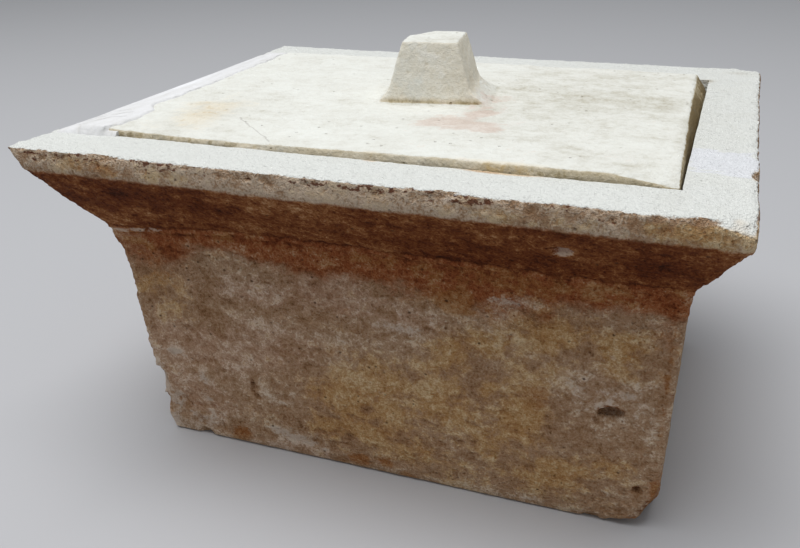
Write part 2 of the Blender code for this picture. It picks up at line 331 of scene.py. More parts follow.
foot_left, foot_right, foot_front, _ = plan(FOOT)
knock_off(chest, (foot_right, foot_front, 0.0), FOOT_BREAK, (-1, 1, 1))
knock_off(chest, (foot_right, foot_front, 0.0), FOOT_SHALLOW_BREAK, (-1, 1, 1))
knock_off(chest, (foot_left, foot_front, 0.0), FOOT_LEFT_BREAK, (1, 1, 1))
knock_off(chest, (chest_high.x, chest_low.y, RIM_TOP), RIM_BREAK, (-1, 1, -1))
knock_off(chest, (chest_high.x, chest_high.y, RIM_TOP), RIM_BACK_BREAK, (-1, -1, -1))
print("breaks", len(breaks), "points", len(chest.data.vertices))

# %% [markdown]
# ## Chips and pits
#
# Pieces have been struck out of the arrises and the front. Each scar is an icosphere, stretched to the
# scar's half sizes and roughened, that a Boolean takes away. The named ones stand where the stone has
# them, and many small ones are scattered by a seeded draw along the arrises, thickest on the front of the
# rim.

# %% Strike out the chips and pits
SCAR_GRAIN, SCAR_ROUGHNESS = 1.2, 0.25


def roughen(piece, grain, depth):
    texture = bpy.data.textures.new("rough", "CLOUDS")
    texture.noise_scale = grain
    finish(piece, "DISPLACE", texture=texture, strength=depth, texture_coords="LOCAL")


def scar(name, place, half, tilt=0.0):
    """A rough ball with these half sizes, which will be taken out of the stone."""
    ball = add("ico_sphere", name, subdivisions=3, radius=1.0, location=place)
    ball.scale = half
    ball.rotation_euler = Euler((0.0, tilt, 0.0))
    bpy.ops.object.transform_apply(location=True, rotation=True, scale=True)
    roughen(ball, min(half) * SCAR_GRAIN, min(half) * SCAR_ROUGHNESS)
    return ball


def take_out(piece, cutters):
    """Joins the cutters and takes them away from the piece."""
    bpy.ops.object.select_all(action="DESELECT")
    for cutter in cutters:
        cutter.select_set(True)
    bpy.context.view_layer.objects.active = cutters[0]
    several = len(cutters) > 1
    if several:
        bpy.ops.object.join()
    cutter = bpy.context.object
    finish(piece, "BOOLEAN", operation="DIFFERENCE", solver="EXACT", object=cutter, use_self=several)
    bpy.data.objects.remove(cutter)


def front_of(drop):
    """Where the front wall stands at this drop below the rim."""
    share = np.clip((drop - SHOULDER_DROP) / (RIM_TOP - SHOULDER_DROP), 0.0, 1.0)
    return chest_low.y + SHOULDER[2] + (FOOT[2] - SHOULDER[2]) * float(share)


def on_front(x, drop):
    return x, front_of(drop), RIM_TOP - drop


front_scars = [
    scar("half_moon_pit", on_front(0.1635, 0.1530), (0.0085, 0.0085, 0.0045), tilt=-0.30),
    scar("half_moon_lip", on_front(0.1600, 0.1590), (0.0070, 0.0024, 0.0030), tilt=-0.20),
    scar("low_pit", on_front(0.1845, 0.2105), (0.0030, 0.0035, 0.0036)),
    scar("upright_pit", on_front(-0.0955, 0.1860), (0.0020, 0.0030, 0.0060), tilt=0.15),
    scar("upright_pit_foot", on_front(-0.0935, 0.1940), (0.0016, 0.0024, 0.0032), tilt=-0.4),
    scar("side_pit", on_front(-0.1740, 0.1840), (0.0026, 0.0026, 0.0014)),
    scar("arris_chip", on_front(-0.1785, 0.1975), (0.0065, 0.0060, 0.0130)),
    scar("arris_chip_low", on_front(-0.1770, 0.2180), (0.0040, 0.0040, 0.0080)),
    scar("hook_pit", on_front(0.0965, 0.1100), (0.0010, 0.0016, 0.0034), tilt=0.3),
    scar("small_pit_a", on_front(-0.0610, 0.2140), (0.0020, 0.0020, 0.0012)),
    scar("small_pit_b", on_front(-0.0285, 0.2150), (0.0014, 0.0018, 0.0012)),
    scar("small_pit_c", on_front(-0.1280, 0.1215), (0.0014, 0.0018, 0.0012)),
    scar("splay_pit", (-0.2140, -0.1850, RIM_TOP - 0.0260), (0.0045, 0.0030, 0.0018)),
    scar("foot_chip", on_front(-0.1450, 0.2420), (0.0060, 0.0050, 0.0040)),
    scar("foot_chip_b", on_front(0.1560, 0.2420), (0.0070, 0.0050, 0.0030)),
    scar("side_chip", (chest_high.x, -0.1120, RIM_TOP), (0.0045, 0.0090, 0.0060)),
    scar("rim_chip", (0.0690, chest_low.y, RIM_TOP), (0.0085, 0.0026, 0.0040)),
    scar("rim_chip_b", (0.2070, chest_low.y, RIM_TOP), (0.0120, 0.0026, 0.0036)),
    scar("rim_chip_c", (-0.1580, chest_low.y, RIM_TOP), (0.0180, 0.0022, 0.0040)),
    scar("splay_chip", (0.1325, chest_low.y + 0.0160, RIM_TOP - 0.0340), (0.0065, 0.0030, 0.0040)),
]
take_out(chest, front_scars)
print("scars", len(front_scars), "points", len(chest.data.vertices))

# %% Scatter small chips along the arrises
draw = random.Random(4)
FRONT_CHIPS, SIDE_CHIPS, WALL_CHIPS = 70, 16, 24
LEAST_CHIP, MOST_CHIP = 0.0007, 0.0019
CHIPPED_FRONT, CHIPPED_BAND = (-0.225, 0.222), 0.0045
CHIPPED_SIDE, CHIPPED_WALL = (-0.18, 0.18), (0.004, 0.150)
small_chips = []


def chip_size():
    """Mostly small, seldom large."""
    return LEAST_CHIP + (MOST_CHIP - LEAST_CHIP) * draw.random() ** 2


for number in range(FRONT_CHIPS):
    size = chip_size()
    place = (draw.uniform(*CHIPPED_FRONT), chest_low.y, RIM_TOP - draw.uniform(0.0, CHIPPED_BAND))
    small_chips.append(scar("chip", place, (size * draw.uniform(1.0, 3.0), size * 0.7, size)))
for number in range(SIDE_CHIPS):
    size = chip_size()
    side = draw.choice((chest_low.x, chest_high.x))
    place = (side, draw.uniform(*CHIPPED_SIDE), RIM_TOP - draw.choice((0.0, 0.0, FASCIA)))
    small_chips.append(scar("chip", place, (size, size * draw.uniform(1.5, 3.5), size)))
for number in range(WALL_CHIPS):
    size = chip_size()
    height = draw.uniform(*CHIPPED_WALL)
    rectangle = plan(between(FOOT, SHOULDER, height / (RIM_TOP - SHOULDER_DROP)))
    place = (rectangle[draw.choice((0, 1))], rectangle[draw.choice((2, 2, 3))], height)
    small_chips.append(scar("chip", place, (size, size, size * draw.uniform(1.0, 3.0))))
take_out(chest, small_chips)
print("small chips", len(small_chips), "points", len(chest.data.vertices))

# %% [markdown]
# ## From a block to stone
#
# So far the faces are large and flat. A voxel remesh turns the block into an even skin of small quads, as
# in sculpting, and softens every arris by about a millimetre, just as wear does. Then Displace modifiers
# lay on the relief, from the broad waves of the hewn face down to grains. Weights say where: arrises wear
# most, broken faces are rough, and the underside stays flat so that the urn stands well.

# %% Remesh and find the arrises
VOXEL = 0.0015
ARRIS_ANGLE = math.radians(24)


def arris_points(piece, spacing=0.002):
    """Points along every sharp edge of the piece."""
    mesh = bmesh.new()
    mesh.from_mesh(piece.data)
    found = []
    for edge in mesh.edges:
        if edge.is_manifold and edge.calc_face_angle() > ARRIS_ANGLE:
            steps = max(1, int(edge.calc_length() / spacing))
            first, last = edge.verts
            found += [first.co.lerp(last.co, step / steps) for step in range(steps)]
    mesh.free()
    return found


def distance_to(found, points):
    tree = kdtree.KDTree(len(found))
    for number, point in enumerate(found):
        tree.insert(point, number)
    tree.balance()
    return np.array([tree.find(point)[2] for point in points])


def patchy(points, size, seed=0.0, low=0.35, high=0.65):
    """Soft patches from 0 to 1."""
    shifted = points / size + seed
    return ease((np.array([noise.noise(point) for point in shifted]) * 0.5 + 0.5 - low) / (high - low))


arrises = arris_points(chest)
finish(chest, "REMESH", mode="VOXEL", voxel_size=VOXEL)
points = points_of(chest)
arris_distance = distance_to(arrises, points)
print("skin", len(points), "points,", len(arrises), "arris points")

# %% Helpers for the relief
HEWN_SIZE, HEWN_DEPTH = 0.045, 0.0018
BED_SIZE, BED_DEPTH, BED_STRETCH = 0.0065, 0.0019, (2.4, 2.4, 1.0)
GRAIN_SIZE, GRAIN_DEPTH = 0.0042, 0.0017
PIT_SIZE, PIT_DEPTH, PIT_STRETCH = 0.0056, 0.0018, (1.5, 1.5, 1.0)
WEAR_SIZE, WEAR_DEPTH, WEAR_REACH = 0.0075, 0.0024, 0.0035
BROKEN_SIZE, BROKEN_DEPTH, BREAK_SKIN = 0.0085, 0.0034, 0.0022
PIT_RAMP = (0.02, 0.34)


def relief(piece, kind, size, depth, group, middle=0.5, stretch=(1.0, 1.0, 1.0), ramp=None, **settings):
    """Displaces the piece along its normals with a texture of this size, where the group's weights allow."""
    texture = bpy.data.textures.new(kind.lower(), kind)
    texture.noise_scale = size
    for name, value in settings.items():
        setattr(texture, name, value)
    if ramp:
        texture.use_color_ramp = True
        first, last = texture.color_ramp.elements
        first.position, first.color = ramp[0], (0, 0, 0, 1)
        last.position, last.color = ramp[1], (1, 1, 1, 1)
    guide = bpy.data.objects.new("guide", None)
    bpy.context.scene.collection.objects.link(guide)
    guide.scale = stretch
    bpy.context.view_layer.update()
    finish(piece, "DISPLACE", texture=texture, strength=depth, mid_level=middle, vertex_group=group,
           texture_coords="OBJECT", texture_coords_object=guide)
    bpy.data.objects.remove(guide)


def break_weights(points, planes):
    """1 on the faces of the breaks, fading away from them."""
    weights = np.zeros(len(points))
    for middle, outwards, reach in planes:
        offset = (points - np.array(middle)) @ np.array(outwards)
        near = np.linalg.norm(points - np.array(middle), axis=1)
        on_face = (1 - ease(np.abs(offset) / BREAK_SKIN)) * (1 - ease(near / reach - 0.9))
        weights = np.maximum(weights, on_face)
    return weights


print("breaks to roughen:", len(breaks))

# %% [markdown]
# Each weight below is made of simple parts: how near a point is to the floor, the top, the front, the
# cornice or an arris, and some soft patches. In Weight Paint mode the same would be a few strokes of the
# brush.

# %% Say where the relief goes
OFF_FLOOR, TOP_SKIN, CORNICE_FADE = 0.003, 0.004, 0.010
FRONT_LIMIT, FRONT_FADE = -0.10, 0.03
ROUGH_FOOT_X, ROUGH_FOOT_Z = (-0.150, 0.030), (0.022, 0.020)
TOP_EDGE_DROP, TOP_EDGE_SPREAD = 0.003, 0.005
FASCIA_FADE, PITTED_ARRIS = 0.004, 0.005
CLUSTER_SIZE, FASCIA_PATCH, ARRIS_PATCH, WALL_PATCH = 0.022, 0.012, 0.015, 0.05

x, y, z = points.T
drop = RIM_TOP - z
off_floor = ease(z / OFF_FLOOR)
is_top = ease((z - RIM_TOP + TOP_SKIN) / TOP_SKIN)
on_cornice = 1.0 - ease((drop - NECK_DROP) / CORNICE_FADE)
front_side = ease((FRONT_LIMIT - y) / FRONT_FADE)
broken = break_weights(points, breaks)
rough_foot = bell(x, *ROUGH_FOOT_X) * bell(z, *ROUGH_FOOT_Z) * front_side
clusters = patchy(points, CLUSTER_SIZE, seed=3.0, low=0.45, high=0.75)
top_edge = bell(drop, TOP_EDGE_DROP, TOP_EDGE_SPREAD) * (1 - is_top)
on_fascia = (1 - ease((drop - FASCIA) / FASCIA_FADE)) * (1 - is_top) * front_side
fascia_patches = patchy(points, FASCIA_PATCH, seed=6.0, low=0.30, high=0.70)
arris_patches = patchy(points, ARRIS_PATCH, seed=8.0, low=0.4, high=0.8)
pitted = 0.30 * clusters + (0.55 * on_fascia + 0.8 * top_edge * front_side) * fascia_patches
pitted = np.clip(pitted + 0.4 * (1 - ease(arris_distance / PITTED_ARRIS)) * arris_patches, 0, 1)
uneven = (0.55 + 0.45 * patchy(points, WALL_PATCH, seed=9.0)) * (1 - 0.5 * on_cornice)

everywhere = weigh(chest, "everywhere", off_floor * (1 - 0.6 * is_top))
on_wall = weigh(chest, "on_wall", off_floor * (1 - 0.85 * is_top) * uneven)
in_pits = weigh(chest, "in_pits", off_floor * pitted * (1 - 0.8 * is_top))
at_arris = weigh(chest, "at_arris", off_floor * (1 - ease(arris_distance / WEAR_REACH)))
on_break = weigh(chest, "on_break", off_floor * np.clip(broken + 0.6 * rough_foot, 0, 1))
print("weighed", len(points), "points")

# %% Lay the relief on the chest
relief(chest, "CLOUDS", HEWN_SIZE, HEWN_DEPTH, everywhere, middle=0.62)
relief(chest, "CLOUDS", BED_SIZE, BED_DEPTH, on_wall, stretch=BED_STRETCH, noise_depth=3)
relief(chest, "CLOUDS", WEAR_SIZE, WEAR_DEPTH, at_arris, middle=0.72, noise_depth=4)
relief(chest, "CLOUDS", BROKEN_SIZE, BROKEN_DEPTH, on_break, middle=0.55, noise_depth=4)
relief(chest, "VORONOI", PIT_SIZE, PIT_DEPTH, in_pits, middle=1.0, stretch=PIT_STRETCH, ramp=PIT_RAMP)
relief(chest, "CLOUDS", GRAIN_SIZE, GRAIN_DEPTH, everywhere, noise_depth=4)
print("relief laid on", len(points), "points")

# %% [markdown]
# A fine skin costs triangles where nothing happens. Decimate thins it, and takes the flat places first,
# so the chips and pits keep their faces.

# %% Thin the skin
CHEST_TRIANGLES = 186000


def thin(piece, triangles):
    piece.vertex_groups.clear()
    now = sum(len(face.vertices) - 2 for face in piece.data.polygons)
    if now > triangles:
        finish(piece, "DECIMATE", ratio=triangles / now)
    print(piece.name, now, "triangles thinned to", len(piece.data.polygons))


thin(chest, CHEST_TRIANGLES)

# %% [markdown]
# ## The rebate and the hollow
#
# The mason sinks a rebate for the lid, and below it the hollow for the ashes. Both are cut now with two
# Boolean cutters: a flat box whose sides are a little wavy, as the rim's inner edge is, and a tapering
# one with rounded corners. Their faces stay large, because the lid hides them and they cost nothing.

# %% Cut the rebate and the hollow
ABOVE = 0.020
WAVE_SIZE, WAVE_DEPTH, SIDE_WAVE, WAVE_BAND = 0.020, 0.0034, 0.20, 0.012
WAVE_MIDDLE, REBATE_CUTS = 0.30, 60
HOLLOW_CORNER, HOLLOW_OVERLAP = 0.010, 0.010

hollow_foot = plus(FOOT, WALL)
hollow_mouth = plus(hollow_foot, -DRAFT)


def box_between(name, low, high):
    """A cube primitive, scaled in edit mode to lie between two (height, plan rectangle) levels."""
    height, rectangle = low
    box = add("cube", name, size=1.0, location=(0, 0, 0))
    edit(box)
    bpy.ops.mesh.select_all(action="SELECT")
    bpy.ops.transform.resize(value=(1, 1, high[0] - height), center_override=(0, 0, -0.5))
    bpy.ops.transform.translate(value=(0, 0, height + 0.5))
    fit((-0.5, 0.5, -0.5, 0.5), rectangle, height)
    leave()
    top = [v.co.z > (height + high[0]) / 2 for v in box.data.vertices]
    box.data.vertices.foreach_set("select", top)
    edit(box)
    fit(rectangle, high[1], high[0])
    leave()
    return box


rebate = box_between("rebate", (RIM_TOP - REBATE, plan(STRIP)), (RIM_TOP + ABOVE, plan(STRIP)))
edit(rebate)
bpy.ops.mesh.select_all(action="SELECT")
bpy.ops.mesh.subdivide(number_cuts=REBATE_CUTS)
leave()
x, y, z = points_of(rebate).T
opening = ease((z - RIM_TOP + WAVE_BAND) / WAVE_BAND)
waves = weigh(rebate, "waves", opening * np.where(y < plan(STRIP)[2] + 0.0001, 1.0, SIDE_WAVE))
texture = bpy.data.textures.new("waves", "CLOUDS")
texture.noise_scale, texture.noise_depth = WAVE_SIZE, 3
finish(rebate, "DISPLACE", texture=texture, strength=WAVE_DEPTH, mid_level=WAVE_MIDDLE, vertex_group=waves,
       texture_coords="LOCAL")
take_out(chest, [rebate])

mouth = RIM_TOP - REBATE + HOLLOW_OVERLAP
hollow = box_between("hollow", (FLOOR, plan(hollow_foot)), (mouth, plan(hollow_mouth)))
edit(hollow)
bpy.ops.mesh.select_all(action="SELECT")
bpy.ops.mesh.bevel(offset=HOLLOW_CORNER, segments=4, affect="EDGES")
leave()
take_out(chest, [hollow])
print("chest", len(chest.data.polygons), "faces")

# %% [markdown]
# ## The lid
#
# The lid is one slab with a knob left standing on it. The slab is drawn up from a grid like the chest.
# Its right side slopes inwards to the top, and more so towards the back, where the gap to the rim opens.
# Its front edge is worn lower at the left. The knob is a block that narrows upwards from a flared foot,
# turned a little from square.

# %% Draw up the slab
LID_WEAR = 0.0018
SLAB_ACROSS, SLAB_ALONG = 48, 36
WORN_MIDDLE, WORN_SPREAD = -0.105, 0.080
lid_edge = plus(STRIP, LID_CLEARANCE)
lid_base = lid_low.z
LID_TOP = RIM_TOP + LID_RISE

slab = add("grid", "stone_lid", x_subdivisions=SLAB_ACROSS, y_subdivisions=SLAB_ALONG, size=1.0)
edit(slab)
bpy.ops.transform.translate(value=(0, 0, lid_base))
fit((-0.5, 0.5, -0.5, 0.5), plan(lid_edge), lid_base)
draw_up([
    (lid_base, plan(lid_edge)),
    (RIM_TOP - LID_SLOPE_DEPTH, plan(lid_edge)),
    (RIM_TOP - LID_SLOPE_DEPTH / 2, plan(lid_edge)),
    (RIM_TOP - 0.001, plan(lid_edge)),
    (LID_TOP - LID_WEAR, plan(lid_edge)),
    (LID_TOP, plan(plus(lid_edge, LID_WEAR))),
])
face_outwards()
x, y, z = points_of(slab).T
left, right, front, back = plan(lid_edge)
slope = ease((z - RIM_TOP + LID_SLOPE_DEPTH) / (LID_SLOPE_DEPTH + LID_RISE))
push(slab, "X", -LID_SKEW, ((x - left) / (right - left)) ** 8 * (y - front) / (back - front) * slope)
worn = bell(x, WORN_MIDDLE, WORN_SPREAD) * (1 - ease((y - front) / LID_FRONT_REACH))
push(slab, "Z", -LID_FRONT_WEAR, worn * (z > RIM_TOP))
print("slab", [round(c, 4) for c in plan(lid_edge)], "top", round(LID_TOP, 4))

# %% Draw up the knob
KNOB_WIDTH, KNOB_DEPTH, KNOB_HEIGHT = 0.0660, 0.0600, 0.0430
KNOB_TOP_WIDTH, KNOB_TOP_DEPTH = 0.0400, 0.0490
KNOB_TURN = math.radians(8.5)
KNOB_ACROSS, KNOB_BACK = 0.0020, 0.0100
KNOB_ROOT = 0.0060
FLARE = (0.0060, 0.0110, 0.0015, 0.0050)
FLARE_HEIGHT, FLARE_STEPS = 0.0120, 6
KNOB_TOP_BREAK = (0.0160, 0.0220, 0.0100)
KNOB_ARRIS = 0.0022

knob_foot = (-KNOB_WIDTH / 2, KNOB_WIDTH / 2, -KNOB_DEPTH / 2, KNOB_DEPTH / 2)
knob_top = (-KNOB_TOP_WIDTH / 2, KNOB_TOP_WIDTH / 2, -KNOB_TOP_DEPTH / 2, KNOB_TOP_DEPTH / 2)


def knob_plan(share_up, lean):
    """The knob's outline at a share of its height, with this share of the flare."""
    straight = between(knob_foot, knob_top, share_up)
    return tuple(side + sign * flare * lean for side, sign, flare in zip(straight, (-1, 1, -1, 1), FLARE))


levels = [(-KNOB_ROOT, knob_plan(0.0, 1.0))]
for step in range(FLARE_STEPS + 1):
    height = FLARE_HEIGHT * step / FLARE_STEPS
    levels.append((height, knob_plan(height / KNOB_HEIGHT, (1.0 - step / FLARE_STEPS) ** 2)))
levels.append((KNOB_HEIGHT, knob_top))
knob = add("plane", "knob", size=1.0, location=(0, 0, 0))
edit(knob)
bpy.ops.transform.translate(value=(0, 0, -KNOB_ROOT))
fit((-0.5, 0.5, -0.5, 0.5), levels[0][1], -KNOB_ROOT)
draw_up(levels)
face_outwards()
knock_off(knob, (-KNOB_TOP_WIDTH / 2, KNOB_TOP_DEPTH / 2, KNOB_HEIGHT), KNOB_TOP_BREAK, (1, -1, -1))
edit(knob)
bpy.ops.mesh.select_all(action="SELECT")
bpy.ops.mesh.bevel(offset=KNOB_ARRIS, segments=2, affect="EDGES", clamp_overlap=True)
leave()
knob.rotation_euler = Euler((0, 0, KNOB_TURN))
knob.location = ((STRIP[0] - STRIP[1]) / 2 + KNOB_ACROSS, (STRIP[2] - STRIP[3]) / 2 + KNOB_BACK, LID_TOP)
pick(knob)
bpy.ops.object.transform_apply(location=True, rotation=True, scale=True)
knob_low, knob_high = points_of(knob).min(0), points_of(knob).max(0)
print("knob from", knob_low.round(4), "to", knob_high.round(4))

# %% [markdown]
# Joined and remeshed, slab and knob become one skin, as they are one stone. The lid's sides keep clear of
# the rebate, so no relief is laid on them below the rim.

# %% Make one stone of slab and knob
LID_VOXEL = 0.0013
LID_CORNER_BREAK = (0.0420, 0.0160, 0.0056)
LID_TRIANGLES = 130000
ABOVE_RIM, ABOVE_RIM_FADE = 0.0005, 0.0015
KNOB_START, KNOB_FADE = 0.001, 0.004
LID_ARRIS_REACH, LID_PATCH = 0.004, 0.02
WAVY = (0.060, 0.0022)
LID_BEDS, LID_BED_STRETCH = (0.0060, 0.0007), (3.0, 1.0, 1.0)
LID_WEAR_RELIEF = (0.012, 0.0016)
LID_PITS, LID_PIT_RAMP = (0.0075, 0.0013), (0.02, 0.26)
LID_GRAIN = (0.0035, 0.0005)

knock_off(slab, (right, front, LID_TOP), LID_CORNER_BREAK, (-1, 1, -1))
lid_arrises = arris_points(slab)
bpy.ops.object.select_all(action="DESELECT")
knob.select_set(True)
slab.select_set(True)
bpy.context.view_layer.objects.active = slab
bpy.ops.object.join()
lid = slab
finish(lid, "REMESH", mode="VOXEL", voxel_size=LID_VOXEL)
points = points_of(lid)
x, y, z = points.T
above_rim = ease((z - RIM_TOP + ABOVE_RIM) / ABOVE_RIM_FADE)
on_knob = ease((z - LID_TOP - KNOB_START) / KNOB_FADE)
lid_arris = 1 - ease(distance_to(lid_arrises, points) / LID_ARRIS_REACH)
pitted = np.clip(0.5 * patchy(points, LID_PATCH, seed=5.0, low=0.5, high=0.75) + 0.3 * on_knob, 0, 1)
everywhere = weigh(lid, "everywhere", above_rim)
at_arris = weigh(lid, "at_arris", above_rim * lid_arris)
in_pits = weigh(lid, "in_pits", above_rim * pitted)
relief(lid, "CLOUDS", *WAVY, everywhere, middle=0.60)
relief(lid, "CLOUDS", *LID_BEDS, everywhere, stretch=LID_BED_STRETCH, noise_depth=3)
relief(lid, "CLOUDS", *LID_WEAR_RELIEF, at_arris, middle=0.70, noise_depth=4)
relief(lid, "VORONOI", *LID_PITS, in_pits, middle=1.0, ramp=LID_PIT_RAMP)
relief(lid, "CLOUDS", *LID_GRAIN, everywhere, noise_depth=3)
thin(lid, LID_TRIANGLES)

# %% Smooth the shading
SHARP = math.radians(50)
FACING_DOWN, AT_FLOOR = -0.99, 0.001


def smooth(piece):
    pick(piece)
    bpy.ops.object.shade_smooth_by_angle(angle=SHARP)


smooth(chest)
smooth(lid)
faces = chest.data.polygons
underside = [face for face in faces if face.normal.z < FACING_DOWN and face.center.z < AT_FLOOR]
for face in underside:
    face.use_smooth = False
print("shaded smooth, with sharp edges where the cutters went and", len(underside), "flat faces below")

# %% [markdown]
# ## The plaster repair
#
# Restorers filled the joint along the rim's left side with white plaster, which runs up from the rim onto
# the lid and hides the lid's front left corner. It could be painted on, but then the step would still
# show. So it is a thin skin of its own: a grid, pushed up to ramp from rim to lid, thick inside a wavy
# outline and sunk below the stone outside it, and given a thickness by Solidify.

# %% Drape the plaster
FILL_WIDTH, FILL_LENGTH = 0.058, 0.352
FILL_X, FILL_Y = -0.2045, 0.014
FILL_THICK, FILL_SUNK = 0.0006, 0.0026
FILL_SKIN = 0.0030
FILL_CELLS = (56, 340)
FILL_RAMP = (-0.2290, -0.1930)
RAMP_FRONT, RAMP_BACK = 0.005, 0.012
FILL_BACK = 0.150
RIM_LINE, FILL_MARGIN, FILL_EDGE = 0.0008, 0.0030, 0.0042
PULL_REACH, PULL_MOST = 0.030, 0.020
FRONT_END, FRONT_END_FADE = -0.112, 0.030
THIN_REACH, THICK_REACH, WAVINESS = 0.0065, 0.0100, 0.0060
FRONT_OVERLAP, FRONT_STEP, FRONT_STEP_X = 0.0045, 0.013, -0.190
EDGE_SOFTNESS, INNER_PATCH, FRONT_PATCH = 0.0024, 0.018, 0.012
SMEARS, SMEAR_STRETCH, SPECKS = (0.010, 0.0013), (1.0, 2.5, 1.0), (0.003, 0.0003)

fill = add("grid", "plaster_fill", x_subdivisions=FILL_CELLS[0], y_subdivisions=FILL_CELLS[1], size=1.0)
edit(fill)
bpy.ops.transform.resize(value=(FILL_WIDTH, FILL_LENGTH, 1.0))
bpy.ops.transform.translate(value=(FILL_X, FILL_Y, RIM_TOP - FILL_SUNK))
leave()
x, y, z = points_of(fill).T
along = (y - chest_low.y) / (chest_high.y - chest_low.y)
rim_edge = chest_low.x + RIM_LINE + LEFT_BOW * bow(along)
grid_edge = FILL_X - FILL_WIDTH / 2
pulled_in = (rim_edge + FILL_MARGIN - grid_edge) * (1 - ease((x - grid_edge) / PULL_REACH))
push(fill, "X", PULL_MOST, pulled_in / PULL_MOST)
points = points_of(fill)
x, y, z = points.T
lid_left, _, lid_front, lid_back = plan(STRIP)
to_front = 1.0 - ease((y - FRONT_END) / FRONT_END_FADE)
inner_waves = WAVINESS * (patchy(points, INNER_PATCH, seed=2.0, low=0.0, high=1.0) - 0.5)
inner_edge = lid_left + THIN_REACH + THICK_REACH * to_front + inner_waves
outer_edge = rim_edge + FILL_EDGE
front_waves = WAVINESS / 2 * (patchy(points, FRONT_PATCH, seed=5.0, low=0.0, high=1.0) - 0.5)
front_edge = lid_front - FRONT_OVERLAP + FRONT_STEP * ease((x - FRONT_STEP_X) / FRONT_STEP) + front_waves
inside = np.minimum(inner_edge - x, x - outer_edge)
inside = np.minimum(inside, np.minimum(y - front_edge, FILL_BACK - y))
beside_lid = ease((y - lid_front + RAMP_FRONT) / RAMP_FRONT) * ease((lid_back - y) / RAMP_BACK)
push(fill, "Z", LID_RISE, ease((x - FILL_RAMP[0]) / (FILL_RAMP[1] - FILL_RAMP[0])) * beside_lid)
push(fill, "Z", FILL_SUNK + FILL_THICK, ease(inside / EDGE_SOFTNESS + 0.5))
smears = weigh(fill, "smears", 0.25 + 0.75 * to_front)
relief(fill, "CLOUDS", *SMEARS, smears, stretch=SMEAR_STRETCH, noise_depth=3)
relief(fill, "CLOUDS", *SPECKS, smears, noise_depth=2)
fill.vertex_groups.clear()
finish(fill, "SOLIDIFY", thickness=FILL_SKIN, offset=-1.0)
smooth(fill)
print("plaster", len(fill.data.polygons), "faces")

# %% [markdown]
# ## Painting the stains
#
# Every patch on the real stone has its place, so each one is painted like a dab with a soft brush: an
# ellipse whose strength fades outwards, stored at every point in a named layer. The materials read the
# layers and let noise break up their edges. An image would be the other way, but layers need no
# unwrapping.
#
# A dab on the front is (x, drop below the rim, half width, half height, strength), and on the top it is
# (x, y, half width, half depth, strength), all in millimetres but the strength.

